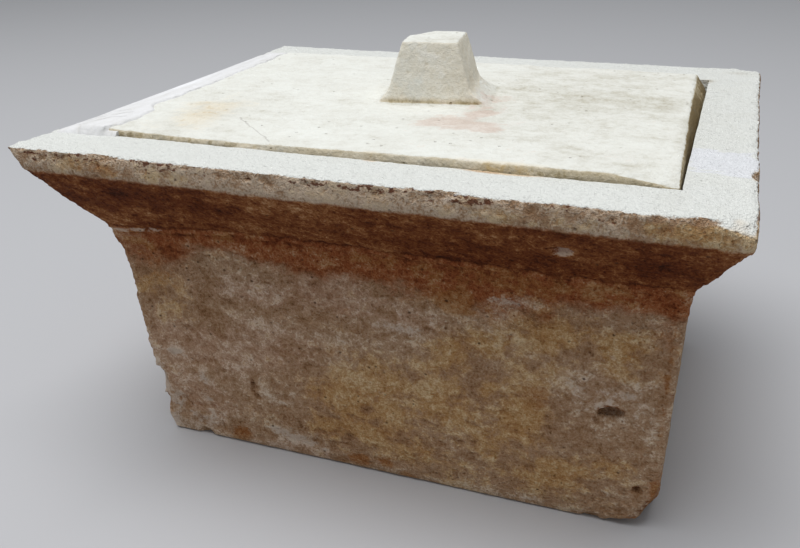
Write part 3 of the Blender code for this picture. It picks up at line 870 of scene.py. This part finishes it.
# %% Dab the front and the top
FRONT_DABS = {
    "stain": [
        (75, 80, 42, 18, 1.0), (100, 66, 60, 12, 1.0), (170, 66, 45, 14, 0.9), (-168, 82, 34, 20, 0.9),
        (-90, 66, 60, 10, 0.8), (0, 70, 50, 12, 0.7), (192, 90, 12, 30, 0.6), (-111, 235, 9, 8, 1.2),
        (-12, 236, 10, 6, 1.1), (8, 232, 7, 5, 0.8), (25, 239, 8, 4, 0.8), (196, 214, 6, 26, 0.9),
        (184, 236, 11, 7, 0.7), (118, 196, 12, 5, 0.5), (150, 210, 18, 6, 0.5), (-20, 107, 8, 4, 0.5),
    ],
    "rust": [
        (68, 86, 18, 10, 1.2), (-112, 233, 8, 8, 1.4), (-12, 235, 9, 6, 1.3), (8, 232, 7, 5, 1.1),
        (118, 152, 12, 10, 0.8), (196, 216, 5, 24, 1.1), (184, 237, 12, 6, 0.9), (-160, 10, 22, 5, 0.9),
        (110, 68, 90, 10, 0.9), (20, 66, 60, 7, 0.8), (-80, 64, 50, 5, 0.7), (120, 120, 14, 12, 0.5),
        (-168, 76, 20, 8, 0.6), (25, 240, 9, 4, 1.0), (60, 8, 60, 4, 0.4), (195, 130, 2, 60, 0.8),
    ],
    "ochre": [
        (-165, 108, 22, 18, 0.5), (-140, 132, 26, 12, 0.4), (-10, 182, 46, 26, 0.8), (5, 208, 42, 18, 0.8),
        (48, 168, 34, 26, 0.7), (78, 116, 26, 16, 0.7), (112, 132, 24, 26, 0.6), (120, 214, 40, 16, 0.7),
        (170, 122, 14, 9, 0.7), (170, 104, 26, 16, 0.8), (148, 94, 16, 14, 0.6), (90, 196, 34, 22, 0.6),
        (-160, 9, 26, 6, 0.5), (-115, 10, 22, 5, 0.5), (200, 8, 30, 8, 1.1), (60, 88, 26, 12, 0.7),
        (110, 12, 40, 4, 0.6), (45, 142, 28, 12, 0.5), (-175, 142, 12, 22, 0.2), (122, 100, 22, 20, 0.9),
        (108, 168, 20, 26, 1.0), (136, 206, 26, 12, 0.9), (62, 128, 18, 22, 0.8), (15, 160, 30, 18, 0.8),
        (30, 214, 40, 16, 0.8), (165, 196, 18, 12, 0.7), (84, 150, 14, 18, 0.7), (-30, 210, 26, 16, 0.7),
    ],
    "pink": [
        (-140, 160, 56, 28, 0.9), (-90, 148, 56, 24, 0.8), (-80, 105, 60, 14, 0.7), (-20, 96, 50, 16, 0.9),
        (32, 106, 34, 14, 0.7), (-148, 204, 36, 34, 0.9), (85, 88, 22, 8, 0.8), (-45, 178, 30, 16, 0.5),
        (-60, 238, 44, 8, 0.7), (165, 140, 30, 18, 0.5),
    ],
    "pale": [
        (163, 142, 36, 22, 0.75), (188, 150, 12, 36, 0.6), (164, 172, 24, 10, 0.5), (-72, 193, 24, 12, 0.7),
        (-62, 226, 26, 7, 0.8), (96, 82, 22, 5, 1.0), (22, 114, 28, 5, 0.9), (-159, 167, 9, 4, 1.3),
        (-137, 188, 7, 9, 1.0), (-177, 198, 7, 17, 1.3), (174, 137, 8, 4, 1.2), (-150, 226, 28, 14, 0.8),
        (132, 34, 8, 6, 1.0), (68, 4, 10, 4, 0.9), (-100, 5, 20, 3, 0.5), (-20, 4, 26, 3, 0.5),
        (105, 237, 34, 4, 0.6), (-215, 10, 16, 6, 0.4), (-60, 9, 60, 7, 0.3), (60, 9, 80, 6, 0.4),
        (-182, 67.5, 9, 1.7, 1.5), (-168, 65.8, 10, 1.7, 1.5), (-153, 64, 9, 1.6, 1.3), (50, 100, 40, 9, 0.5),
        (-77, 223, 10, 4, 1.2), (-64, 226, 12, 3.5, 1.3), (-52, 229, 12, 3, 1.2), (-41, 232, 9, 3, 1.0),
        (-165, 214, 16, 16, 1.0), (-170, 232, 12, 8, 1.0), (-137, 205, 8, 6, 0.9), (-20, 130, 60, 7, 0.5),
    ],
    # The small dark dabs sit on the cut pits and chips: dirt there, and painted shade inside them
    "dark": [
        (180, 9, 60, 8, 0.4), (-155, 30, 34, 9, 0.5), (-100, 34, 30, 8, 0.4), (90, 40, 60, 8, 0.3),
        (170, 38, 30, 12, 0.3),
        (-95, 188, 4, 8, 0.8), (185, 211, 4, 4, 0.8), (-174, 184, 5, 3, 0.7), (97, 110, 3, 5, 0.5),
        (-61, 214, 3, 2, 0.6), (164, 153, 8, 3, 0.5), (195, 120, 3, 60, 0.5), (-170, 84, 26, 14, 0.3),
        (-178, 222, 4, 5, 0.4),
    ],
}
TOP_DABS = {
    "plaster": [
        (209, -94, 24, 22, 1.0), (196, -80, 14, 14, 0.8), (216, -110, 12, 14, 0.8), (-212, -10, 8, 34, 1.0),
    ],
    # The dark dabs along the lid's right side (x 186) and at the gap's back end paint the shade in the gap
    # between lid and rim, with dirt in the end pit
    "dark": [
        (213, 170, 16, 8, 0.9), (189, 132, 7, 8, 1.6), (186, 0, 7, 170, 0.8), (120, 30, 80, 110, 0.85),
        (150, -120, 60, 30, 0.5),
        (-120, -90, 50, 50, 0.25), (205, 40, 30, 150, 0.45), (20, -60, 60, 30, 0.2),
    ],
    "ochre": [
        (-140, -95, 24, 44, 0.9), (-156, -73, 13, 8, 1.0), (9, -151, 8, 5, 1.0), (90, -151, 32, 5, 1.2),
        (228, -112, 5, 12, 1.2), (222, -188, 8, 8, 0.8),
    ],
    "pink": [(40, -74, 30, 15, 1.0), (48, -40, 13, 26, 0.8), (64, -84, 14, 9, 0.9), (47, -4, 12, 14, 0.6)],
}
LAYERS = sorted({*FRONT_DABS, *TOP_DABS})
print("layers", LAYERS, "dabs", sum(len(dabs) for dabs in (*FRONT_DABS.values(), *TOP_DABS.values())))

# %% [markdown]
# Dirt gathers in hollows and rubs off where the stone stands proud, and the hollows also get painted
# shade. So one more layer, "hollow", measures that, by smoothing a copy of the points and comparing, and
# "inner" marks the rebate, which stayed pale.

# %% Store the dabs and the hollows
MM = 1000
SMOOTHING_ROUNDS = 8
DAB_FALLOFF = 0.8
REBATE_MARGIN, REBATE_FRONT_MARGIN = 0.5, 1.5
FRONT_LINE, FRONT_LINE_FADE = -135, 20
CHEST_TOP_BAND, LID_TOP_BAND, TOP_BAND_FADE = 5, 14, 4


def dab(across, along, dabs):
    """The strongest of the dabs at each pair of flat coordinates, in millimetres."""
    paint = np.zeros(len(across))
    for middle, level, half_width, half_height, strength in dabs:
        distance = ((across - middle) / half_width) ** 2 + ((along - level) / half_height) ** 2
        paint = np.maximum(paint, strength * np.exp(-DAB_FALLOFF * distance))
    return paint


def store(piece, name, values):
    layer = piece.data.attributes.new(name, "FLOAT", "POINT")
    layer.data.foreach_set("value", values.astype(np.float32))


def hollowness(piece):
    """How far each point lies below its neighbours' mean, in millimetres; negative where it stands proud."""
    points = points_of(piece)
    edges = np.empty(len(piece.data.edges) * 2, np.int32)
    piece.data.edges.foreach_get("vertices", edges)
    ends = edges.reshape(-1, 2)
    starts = np.concatenate([ends[:, 0], ends[:, 1]])
    stops = np.concatenate([ends[:, 1], ends[:, 0]])
    count = np.bincount(starts, minlength=len(points))[:, None]
    mean = points
    for _ in range(SMOOTHING_ROUNDS):
        mean = np.stack([np.bincount(starts, column[stops], len(points)) for column in mean.T], 1) / count
    normals = np.empty(len(points) * 3, np.float32)
    piece.data.vertex_normals.foreach_get("vector", normals)
    return ((mean - points) * normals.reshape(-1, 3)).sum(1) * MM


for piece in (chest, lid, fill):
    x, y, z = points_of(piece).T * MM
    in_front = 1 - ease((y - FRONT_LINE) / FRONT_LINE_FADE)
    top_band = LID_TOP_BAND if piece is lid else CHEST_TOP_BAND
    on_top = ease((z - RIM_TOP * MM + top_band) / TOP_BAND_FADE)
    for name in LAYERS:
        front_paint = dab(x, RIM_TOP * MM - z, FRONT_DABS.get(name, [])) * in_front * (1 - on_top)
        top_paint = dab(x, y, TOP_DABS.get(name, [])) * on_top
        store(piece, name, front_paint + top_paint)
    left, right, front, back = (side * MM for side in plan(STRIP))
    in_rebate = (x > left - REBATE_MARGIN) & (x < right + REBATE_MARGIN)
    in_rebate &= (y > front - REBATE_FRONT_MARGIN) & (y < back + REBATE_MARGIN)
    in_rebate &= z > (RIM_TOP - REBATE) * MM - REBATE_MARGIN
    store(piece, "inner", 1.0 * in_rebate)
    depth = hollowness(piece)
    store(piece, "hollow", depth)
    print(piece.name, "hollow by", np.percentile(depth, (5, 50, 90, 95, 99)).round(2), "mm")

# %% [markdown]
# ## Mixing stone from nodes
#
# A stone's colour is thought of as one tone, from dark to pale, that noise at several sizes and the
# painted layers push up and down. Ramps turn the tone into the colours of clean stone, of ochre stone, of
# pinkish stone and of stained stone, and masks choose between them. So a stain's edge is as grainy as the
# stone itself. Laying flat colours over each other is the simpler way, but its patches look stuck on.

# %% Helpers for the materials
def put(tree, kind, inputs, output=0, **settings):
    """Adds a node, sets it, links or fills its inputs, and returns one of its outputs."""
    node = tree.nodes.new(kind)
    for name, value in settings.items():
        setattr(node, name, value)
    for name, value in inputs.items():
        if isinstance(value, bpy.types.NodeSocket):
            tree.links.new(value, node.inputs[name])
        else:
            node.inputs[name].default_value = value
    return node.outputs[output]


def stretched(tree, where, scale):
    return put(tree, "ShaderNodeMapping", {"Vector": where, "Scale": scale})


def total(tree, start, *parts):
    """The start plus each (value, weight)."""
    for value, weight in parts:
        start = put(tree, "ShaderNodeMath", {0: value, 1: weight, 2: start}, operation="MULTIPLY_ADD")
    return start


def cloud(tree, where, size, detail=4.0, rough=0.6, warp=0.0):
    """Cloudy noise of this size, about zero, mostly within a half either way."""
    inputs = {"Vector": where, "Scale": 1.0 / size, "Detail": detail, "Roughness": rough, "Distortion": warp}
    return total(tree, -1.1, (put(tree, "ShaderNodeTexNoise", inputs), 2.2))


def soft(tree, value, low, high, top=1.0):
    """A smooth step of the value: 0 at low, top at high."""
    inputs = {"Value": value, "From Min": low, "From Max": high, "To Min": 0.0, "To Max": top}
    return put(tree, "ShaderNodeMapRange", inputs, interpolation_type="SMOOTHSTEP")


def ragged(tree, value, parts, low, high, top=1.0):
    """A smooth step of a value whose edge these (value, weight) parts break up."""
    return soft(tree, total(tree, value, *parts), low, high, top)


def product(tree, first, *others):
    for value in others:
        first = put(tree, "ShaderNodeMath", {0: first, 1: value}, operation="MULTIPLY")
    return first


def larger(tree, first, second):
    return put(tree, "ShaderNodeMath", {0: first, 1: second}, operation="MAXIMUM")


def opposite(tree, mask):
    return put(tree, "ShaderNodeMath", {0: 1.0, 1: mask}, operation="SUBTRACT")


def painted(tree, name):
    return put(tree, "ShaderNodeAttribute", {}, output="Fac", attribute_name=name)


def ramp(tree, tone, *colours):
    """Turns a tone from 0 to 1 into these colours, evenly spaced."""
    node = put(tree, "ShaderNodeValToRGB", {"Fac": tone}).node
    stops = node.color_ramp.elements
    for number in range(1, len(colours) - 1):
        stops.new(number / (len(colours) - 1))
    for stop, colour in zip(stops, colours):
        stop.color = (*colour, 1.0)
    return node.outputs["Color"]


def coat(tree, below, colour, mask):
    """Lays a colour over what is below, where the mask lets it."""
    node = tree.nodes.new("ShaderNodeMix")
    node.data_type = "RGBA"
    for socket, value in ((node.inputs[0], mask), (node.inputs[6], below), (node.inputs[7], colour)):
        if isinstance(value, bpy.types.NodeSocket):
            tree.links.new(value, socket)
        else:
            socket.default_value = (*value, 1.0) if isinstance(value, tuple) else value
    return node.outputs[2]


def pinholes(tree, where, size, radius, share):
    """Small round holes, in this share of the cells of a Voronoi pattern."""
    node = put(tree, "ShaderNodeTexVoronoi", {"Vector": where, "Scale": 1.0 / size}).node
    chance = put(tree, "ShaderNodeSeparateColor", {"Color": node.outputs["Color"]})
    chosen = put(tree, "ShaderNodeMath", {0: chance, 1: share}, operation="LESS_THAN")
    return product(tree, soft(tree, node.outputs["Distance"], radius, radius * 0.4), chosen)


def scratch(tree, where, first, last, width, wobble):
    """A thin line between two places, seen from above and wavering a little."""
    first, run = Vector(first), Vector(last) - Vector(first)
    waver = put(tree, "ShaderNodeTexNoise", {"Vector": where, "Scale": 90.0, "Detail": 3.0}, output="Color")
    inputs = {0: waver, 1: (wobble, wobble, 0.0), 2: stretched(tree, where, (1.0, 1.0, 0.0))}
    moved = put(tree, "ShaderNodeVectorMath", inputs, operation="MULTIPLY_ADD")
    middle = first + Vector((wobble, wobble, 0.0)) / 2
    moved = put(tree, "ShaderNodeVectorMath", {0: moved, 1: middle}, operation="SUBTRACT")
    inputs = {0: moved, 1: run / run.length_squared}
    along = put(tree, "ShaderNodeVectorMath", inputs, "Value", operation="DOT_PRODUCT")
    share = put(tree, "ShaderNodeClamp", {"Value": along})
    foot = put(tree, "ShaderNodeVectorMath", {0: run, "Scale": share}, operation="SCALE")
    gap = put(tree, "ShaderNodeVectorMath", {0: moved, 1: foot}, "Value", operation="DISTANCE")
    return soft(tree, gap, width, width * 0.3)


SPECULAR = 0.10


def new_stone(name, roughness):
    """A rough matt material, with its shader, Object coordinates, drop below the rim and slope."""
    material = bpy.data.materials.new(name)
    material.use_nodes = True
    tree = material.node_tree
    shader = tree.nodes["Principled BSDF"]
    shader.inputs["Roughness"].default_value = roughness
    shader.inputs["Specular IOR Level"].default_value = SPECULAR
    where = put(tree, "ShaderNodeTexCoord", {}, output="Object")
    height = put(tree, "ShaderNodeSeparateXYZ", {"Vector": where}, output="Z")
    drop = total(tree, RIM_TOP, (height, -1.0))
    facing = put(tree, "ShaderNodeNewGeometry", {}, output="Normal")
    upward = put(tree, "ShaderNodeSeparateXYZ", {"Vector": facing}, output="Z")
    return material, tree, shader, where, drop, upward


def dress(tree, shader, colour, height):
    """Links the colour, and a bump of this height in metres."""
    tree.links.new(colour, shader.inputs["Base Color"])
    bump = put(tree, "ShaderNodeBump", {"Height": height, "Strength": 1.0, "Distance": 1.0})
    tree.links.new(bump, shader.inputs["Normal"])


# %% [markdown]
# ## The chest's limestone
#
# Under the dirt the stone is a beige limestone with level beds, pinkish in places and ochre in others.
# Its sheltered parts, the splay and the band below it, are stained dark red-brown, and the splay, which
# faces down, is darkened further as painted shade. Its top has bleached nearly white. The masks go on in
# that order, then dirt and painted shade settle in what lies hollow, and last comes the white repair.

# %% Mix the chest's noises
worn_stone, tree, shader, where, drop, upward = new_stone("worn_limestone", 0.9)
bedded = stretched(tree, where, (1.0, 1.0, 1.25))
streaky = stretched(tree, where, (1.0, 1.0, 4.5))
broad = cloud(tree, bedded, 0.070, 3.0, 0.55, 0.4)
middling = cloud(tree, bedded, 0.022, 4.0, 0.60, 0.3)
fine = cloud(tree, bedded, 0.0075, 4.0, 0.65)
grains = cloud(tree, where, 0.0024, 3.0, 0.7)
grit = cloud(tree, where, 0.0013, 2.0, 0.6)
streaks = cloud(tree, streaky, 0.022, 4.0, 0.6, 0.3)
# hollow marks the concave places; the colour darkens them as dirt and as painted shade
hollow = soft(tree, painted(tree, "hollow"), 0.02, 0.80)
proud = soft(tree, painted(tree, "hollow"), -0.02, -0.50)
holes = pinholes(tree, bedded, 0.0052, 0.26, 0.14)
tiny_holes = pinholes(tree, where, 0.0028, 0.32, 0.22)
print("noises take", len(tree.nodes), "nodes")

# %% Colour the clean stone
in_fascia = ragged(tree, drop, [(fine, 0.0024)], FASCIA + 0.0020, FASCIA - 0.0010)
# hollow and tiny_holes lower the tone: dirt in hollows and pits, and painted shade there too
tone = total(
    tree, 0.680, (broad, 0.20), (middling, 0.38), (fine, 0.36), (grains, 0.36), (grit, 0.32),
    (in_fascia, 0.15), (painted(tree, "pale"), 0.14), (painted(tree, "dark"), -0.30), (hollow, -0.15),
    (proud, 0.10), (tiny_holes, -0.18),
)
clean = ramp(
    tree, tone, (0.074, 0.029, 0.013), (0.179, 0.078, 0.032), (0.315, 0.166, 0.079), (0.420, 0.252, 0.142),
    (0.525, 0.351, 0.225), (0.735, 0.585, 0.441),
)
ochre = ramp(
    tree, tone, (0.077, 0.025, 0.006), (0.216, 0.079, 0.021), (0.371, 0.167, 0.054), (0.494, 0.265, 0.101),
    (0.603, 0.382, 0.186), (0.772, 0.589, 0.360),
)
pinkish = ramp(
    tree, tone, (0.084, 0.030, 0.015), (0.218, 0.093, 0.047), (0.355, 0.185, 0.104), (0.464, 0.276, 0.169),
    (0.583, 0.394, 0.271), (0.788, 0.627, 0.493),
)
greyish = ramp(
    tree, tone, (0.116, 0.057, 0.031), (0.278, 0.162, 0.099), (0.430, 0.279, 0.184), (0.546, 0.386, 0.272),
    (0.651, 0.502, 0.383), (0.819, 0.692, 0.567),
)
blotches = ((middling, 1.0), (fine, 0.6))
colour = coat(tree, clean, ochre, ragged(tree, middling, [(fine, 0.8)], 0.05, 0.45, 0.6))
colour = coat(tree, colour, pinkish, ragged(tree, painted(tree, "pink"), blotches, 0.2, 0.8))
colour = coat(tree, colour, ochre, ragged(tree, painted(tree, "ochre"), blotches, 0.2, 0.8))
scuffs = ((middling, 0.8), (fine, 0.7), (grains, 0.3))
colour = coat(tree, colour, greyish, ragged(tree, painted(tree, "pale"), scuffs, 0.35, 1.05, 0.85))
print("with the clean stone", len(tree.nodes), "nodes")

# %% Stain the splay and the band below it, with painted shade on the splay
RUBBED_PALE = (0.600, 0.480, 0.390)
RED_PIT = (0.150, 0.046, 0.020)

# hollow and tiny_holes lower the splay's tone too: dirt, and painted shade in hollows and pits
splay_tone = total(
    tree, 0.56, (broad, 0.24), (middling, 0.32), (fine, 0.40), (grains, 0.32), (grit, 0.28), (streaks, 0.08),
    (painted(tree, "pale"), 0.26), (painted(tree, "dark"), -0.34), (hollow, -0.20), (tiny_holes, -0.22),
)
# The splay's colour is its red-brown stain made darker still, as painted shade on faces that look down
splay_stain_and_shade = ramp(
    tree, splay_tone, (0.022, 0.005, 0.002), (0.060, 0.013, 0.004), (0.116, 0.027, 0.007),
    (0.200, 0.063, 0.018), (0.340, 0.149, 0.055), (0.560, 0.351, 0.195),
)
in_band = ramp(
    tree, tone, (0.048, 0.008, 0.002), (0.121, 0.022, 0.006), (0.213, 0.046, 0.011), (0.317, 0.086, 0.024),
    (0.426, 0.168, 0.066), (0.624, 0.400, 0.248),
)
under = soft(tree, upward, -0.18, -0.50)
wavy_edge = ((broad, 0.030), (middling, 0.026))
near_neck = ragged(tree, drop, wavy_edge, NECK_DROP + 0.034, NECK_DROP + 0.004, 0.8)
near_neck = total(tree, near_neck, (painted(tree, "stain"), 0.8), (middling, 0.5), (fine, 0.5))
above_foot = soft(tree, drop, RIM_TOP - 0.004, RIM_TOP - 0.012)
below_fascia = product(tree, opposite(tree, in_fascia), above_foot)
colour = coat(tree, colour, in_band, product(tree, soft(tree, near_neck, 0.20, 0.95), below_fascia, 0.92))
# Faces that look down take the splay's colour: real stain, and painted shade
colour = coat(tree, colour, splay_stain_and_shade, product(tree, under, below_fascia, 0.96))
rusty = ramp(
    tree, tone, (0.080, 0.022, 0.008), (0.190, 0.058, 0.016), (0.330, 0.125, 0.036), (0.480, 0.260, 0.110),
)
rust = ragged(tree, painted(tree, "rust"), ((middling, 0.9), (fine, 0.9)), 0.40, 0.9, 0.8)
colour = coat(tree, colour, rusty, rust)
rubbed = ((middling, 0.3), (fine, 0.6), (grains, 0.5))
marks = ragged(tree, painted(tree, "pale"), rubbed, 0.72, 1.00, 0.6)
colour = coat(tree, colour, RUBBED_PALE, marks)
crumbled = cloud(tree, stretched(tree, where, (0.6, 1.0, 1.0)), 0.0032, 3.0, 0.6)
at_edge = product(tree, soft(tree, drop, 0.0130, 0.0030), in_fascia, soft(tree, middling, -0.30, 0.15))
colour = coat(tree, colour, RED_PIT, ragged(tree, at_edge, [(crumbled, 1.5)], 0.90, 1.20, 0.9))
print("with the stains", len(tree.nodes), "nodes")

# %% Bleach the top
PLASTER = (0.800, 0.815, 0.850)

# The dark dabs and the hollows darken the top: smudges and dirt, and painted shade in the lid's gap and in
# hollows
top_tone = total(
    tree, 1.02, (streaks, 0.20), (fine, 0.16), (grains, 0.10), (painted(tree, "dark"), -0.48),
    (hollow, -0.08),
)
bleached = ramp(
    tree, top_tone, (0.300, 0.260, 0.190), (0.560, 0.530, 0.450), (0.680, 0.675, 0.625),
    (0.755, 0.765, 0.725), (0.790, 0.805, 0.775),
)
facing_up = ragged(tree, upward, ((fine, 0.30), (grains, 0.20)), 0.50, 0.80)
at_top = product(tree, facing_up, ragged(tree, drop, [(fine, 0.003)], 0.010, 0.005))
at_top = larger(tree, at_top, painted(tree, "inner"))
colour = coat(tree, colour, bleached, at_top)
colour = coat(tree, colour, ochre, product(tree, at_top, soft(tree, painted(tree, "ochre"), 0.5, 1.0, 0.8)))
patch_noise = cloud(tree, stretched(tree, where, (0.35, 1.0, 1.0)), 0.010, 4.0, 0.65)
patch = ragged(tree, painted(tree, "plaster"), ((patch_noise, 0.8), (middling, 0.3)), 0.42, 0.56, 0.9)
colour = coat(tree, colour, PLASTER, product(tree, patch, at_top))
print("with the top", len(tree.nodes), "nodes")

# %% Lay in the dirt, with painted shade in holes and hollows, and the bump
DIRT_AND_SHADE = (0.075, 0.034, 0.016)

below_top = opposite(tree, at_top)
# Pinholes and hollows get a dark coat: dirt in them, and painted shade for the shade inside pits and hollows
dirty_shaded_holes = product(tree, holes, soft(tree, middling, -0.2, 0.2), 0.8)
dirt_and_shade = total(tree, dirty_shaded_holes, (hollow, 0.16), (in_fascia, -0.10))
colour = coat(tree, colour, DIRT_AND_SHADE, product(tree, dirt_and_shade, below_top))
roughness = total(
    tree, 0.0, (fine, 0.0020), (grains, 0.0018), (grit, 0.0009), (holes, -0.0012), (tiny_holes, -0.0009),
)
calmer = total(tree, 1.0, (at_top, -0.92), (in_fascia, 0.5), (under, -0.35))
dress(tree, shader, colour, product(tree, roughness, calmer))
chest.data.materials.append(worn_stone)
print("worn limestone has", len(tree.nodes), "nodes")

# %% [markdown]
# ## The lid's limestone
#
# The lid has been washed and bleached nearly white, with faint grey streaks along its beds, a tan and a
# pinkish patch, and buff sides to the knob. The contrast is low, a few percent, and still the eye misses
# it when it is left out.

# %% Mix the lid's limestone
OCHRE_SPOT = (0.480, 0.340, 0.140)
SCRATCH_GREY = (0.420, 0.405, 0.375)
SCRATCH_ENDS = ((-0.110, -0.102, 0.0), (-0.064, -0.143, 0.0))

bleached_stone, tree, shader, where, drop, upward = new_stone("bleached_limestone", 0.88)
along_beds = stretched(tree, where, (1.0, 2.6, 2.0))
broad = cloud(tree, along_beds, 0.080, 4.0, 0.60, 0.4)
middling = cloud(tree, where, 0.022, 4.0, 0.60, 0.3)
streaks = cloud(tree, along_beds, 0.016, 4.0, 0.65)
fine = cloud(tree, where, 0.0065, 4.0, 0.65)
grains = cloud(tree, where, 0.0022, 3.0, 0.7)
# hollow marks the lid's concave places; the tone darkens them as dirt and as painted shade
hollow = soft(tree, painted(tree, "hollow"), 0.02, 0.50)
holes = pinholes(tree, where, 0.0050, 0.22, 0.07)
steep = ragged(tree, upward, [(fine, 0.10)], 0.88, 0.60)
on_knob = soft(tree, drop, -LID_RISE - 0.001, -LID_RISE - 0.006)
# in_edge: the lid's steep sides below the knob, which the tone darkens as dirt and as painted shade
in_edge = product(tree, steep, opposite(tree, on_knob))
side_of_knob = product(tree, steep, on_knob)

# hollow, holes and in_edge lower the tone: dirt, and painted shade in hollows, pits, on the steep sides and
# in the gap beside the rim
tone = total(
    tree, 0.70, (broad, 0.22), (streaks, 0.13), (middling, 0.30), (fine, 0.26), (grains, 0.20),
    (painted(tree, "dark"), -0.32), (hollow, -0.16), (holes, -0.25), (in_edge, -0.24), (side_of_knob, 0.15),
    (product(tree, in_edge, painted(tree, "dark")), -0.45),
)
cream = ramp(
    tree, tone, (0.230, 0.195, 0.130), (0.460, 0.430, 0.345), (0.610, 0.600, 0.535), (0.715, 0.715, 0.665),
    (0.765, 0.775, 0.730), (0.800, 0.815, 0.780),
)
buff = ramp(
    tree, tone, (0.230, 0.170, 0.085), (0.430, 0.360, 0.230), (0.580, 0.510, 0.380), (0.690, 0.630, 0.510),
    (0.765, 0.725, 0.620), (0.810, 0.790, 0.715),
)
rosy = ramp(
    tree, tone, (0.300, 0.180, 0.130), (0.480, 0.375, 0.310), (0.630, 0.545, 0.480), (0.745, 0.700, 0.645),
)
weathered = ragged(tree, middling, [(fine, 0.5)], -0.75, 0.05)
colour = coat(tree, cream, buff, product(tree, steep, weathered))
tan = ragged(tree, painted(tree, "ochre"), ((middling, 0.7), (fine, 0.5)), 0.25, 1.1)
colour = coat(tree, colour, buff, tan)
colour = coat(tree, colour, OCHRE_SPOT, ragged(tree, painted(tree, "ochre"), [(fine, 0.8)], 0.85, 1.3, 0.7))
pink = ragged(tree, painted(tree, "pink"), ((middling, 0.7), (fine, 0.6)), 0.25, 0.75, 0.95)
colour = coat(tree, colour, rosy, pink)
line = scratch(tree, where, *SCRATCH_ENDS, 0.0008, 0.006)
colour = coat(tree, colour, SCRATCH_GREY, product(tree, line, 0.50))
roughness = total(tree, 0.0, (fine, 0.0006), (grains, 0.0004), (holes, -0.0010))
dress(tree, shader, colour, roughness)
lid.data.materials.append(bleached_stone)
print("bleached limestone has", len(tree.nodes), "nodes")

# %% [markdown]
# ## The plaster
#
# The fill is whiter and a little bluer than the stone, smeared along the joint, brightest in one patch
# and marked with scratches at its thick end.

# %% Mix the plaster
TROWEL_MARKS = (
    ((-0.222, -0.132, 0.0), (-0.190, -0.112, 0.0), 0.0010, 0.014),
    ((-0.214, -0.142, 0.0), (-0.186, -0.124, 0.0), 0.0009, 0.012),
    ((-0.218, -0.118, 0.0), (-0.200, -0.104, 0.0), 0.0009, 0.012),
)
TROWEL_GREY = (0.520, 0.510, 0.500)

plaster, tree, shader, where, *_ = new_stone("repair_plaster", 0.8)
smeared = cloud(tree, stretched(tree, where, (2.2, 0.6, 1.0)), 0.016, 4.0, 0.6, 0.4)
fine = cloud(tree, where, 0.005, 4.0, 0.65)
tone = total(tree, 0.45, (smeared, 0.45), (fine, 0.30), (painted(tree, "plaster"), 0.45))
colour = ramp(
    tree, tone, (0.600, 0.590, 0.560), (0.700, 0.700, 0.700), (0.765, 0.770, 0.785), (0.870, 0.880, 0.905),
)
marks = scratch(tree, where, *TROWEL_MARKS[0])
for mark in TROWEL_MARKS[1:]:
    marks = larger(tree, marks, scratch(tree, where, *mark))
colour = coat(tree, colour, TROWEL_GREY, product(tree, marks, 0.6))
dress(tree, shader, colour, total(tree, 0.0, (smeared, 0.0008), (fine, 0.0004), (marks, -0.0006)))
fill.data.materials.append(plaster)
print("plaster has", len(tree.nodes), "nodes")

# %% Hand the pieces to the frame
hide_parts("urn_chest")
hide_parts("urn_lid")
for piece, finish_name in ((chest, "chest_limestone"), (fill, "chest_limestone"), (lid, "lid_limestone")):
    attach(piece, "root")
print("handed over", [piece.name for piece in (chest, fill, lid)])

# %% [markdown]
# ## Light and floor
#
# The urn stood in even gallery light from above: its top is nearly white and its front lies in soft
# shade. One wide area lamp overhead and a dim sky do that, and a pale grey floor sends some light up
# under the cornice.

# %% Set the floor and the light
FLOOR_SIZE = 14.0
LAMP_SIZE, LAMP_POWER = 2.6, 112.0
LAMP_PLACE = (-0.3, -0.50, 3.4)
SKY_COLOUR, SKY_STRENGTH = (0.96, 0.98, 1.0, 1.0), 0.33
FLOOR_GREY, FLOOR_ROUGHNESS = (0.49, 0.495, 0.515, 1.0), 0.7
FLOOR_GAP = 0.0005

floor = add("plane", "floor", size=FLOOR_SIZE, location=(0, 0, -FLOOR_GAP))
floor_material = bpy.data.materials.new("floor")
floor_material.use_nodes = True
shader = floor_material.node_tree.nodes["Principled BSDF"]
shader.inputs["Base Color"].default_value = FLOOR_GREY
shader.inputs["Roughness"].default_value = FLOOR_ROUGHNESS
floor.data.materials.append(floor_material)

lamp = bpy.data.objects.new("softbox", bpy.data.lights.new("softbox", "AREA"))
bpy.context.scene.collection.objects.link(lamp)
lamp.data.shape = "SQUARE"
lamp.data.size = LAMP_SIZE
lamp.data.energy = LAMP_POWER
lamp.location = LAMP_PLACE
lamp.rotation_euler = Vector(LAMP_PLACE).to_track_quat("Z", "Y").to_euler()

world = bpy.data.worlds.new("sky")
bpy.context.scene.world = world
world.use_nodes = True
sky = world.node_tree.nodes["Background"]
sky.inputs["Color"].default_value = SKY_COLOUR
sky.inputs["Strength"].default_value = SKY_STRENGTH
bpy.context.scene.view_settings.view_transform = "Standard"
print("lamp", LAMP_POWER, "W, sky", SKY_STRENGTH)
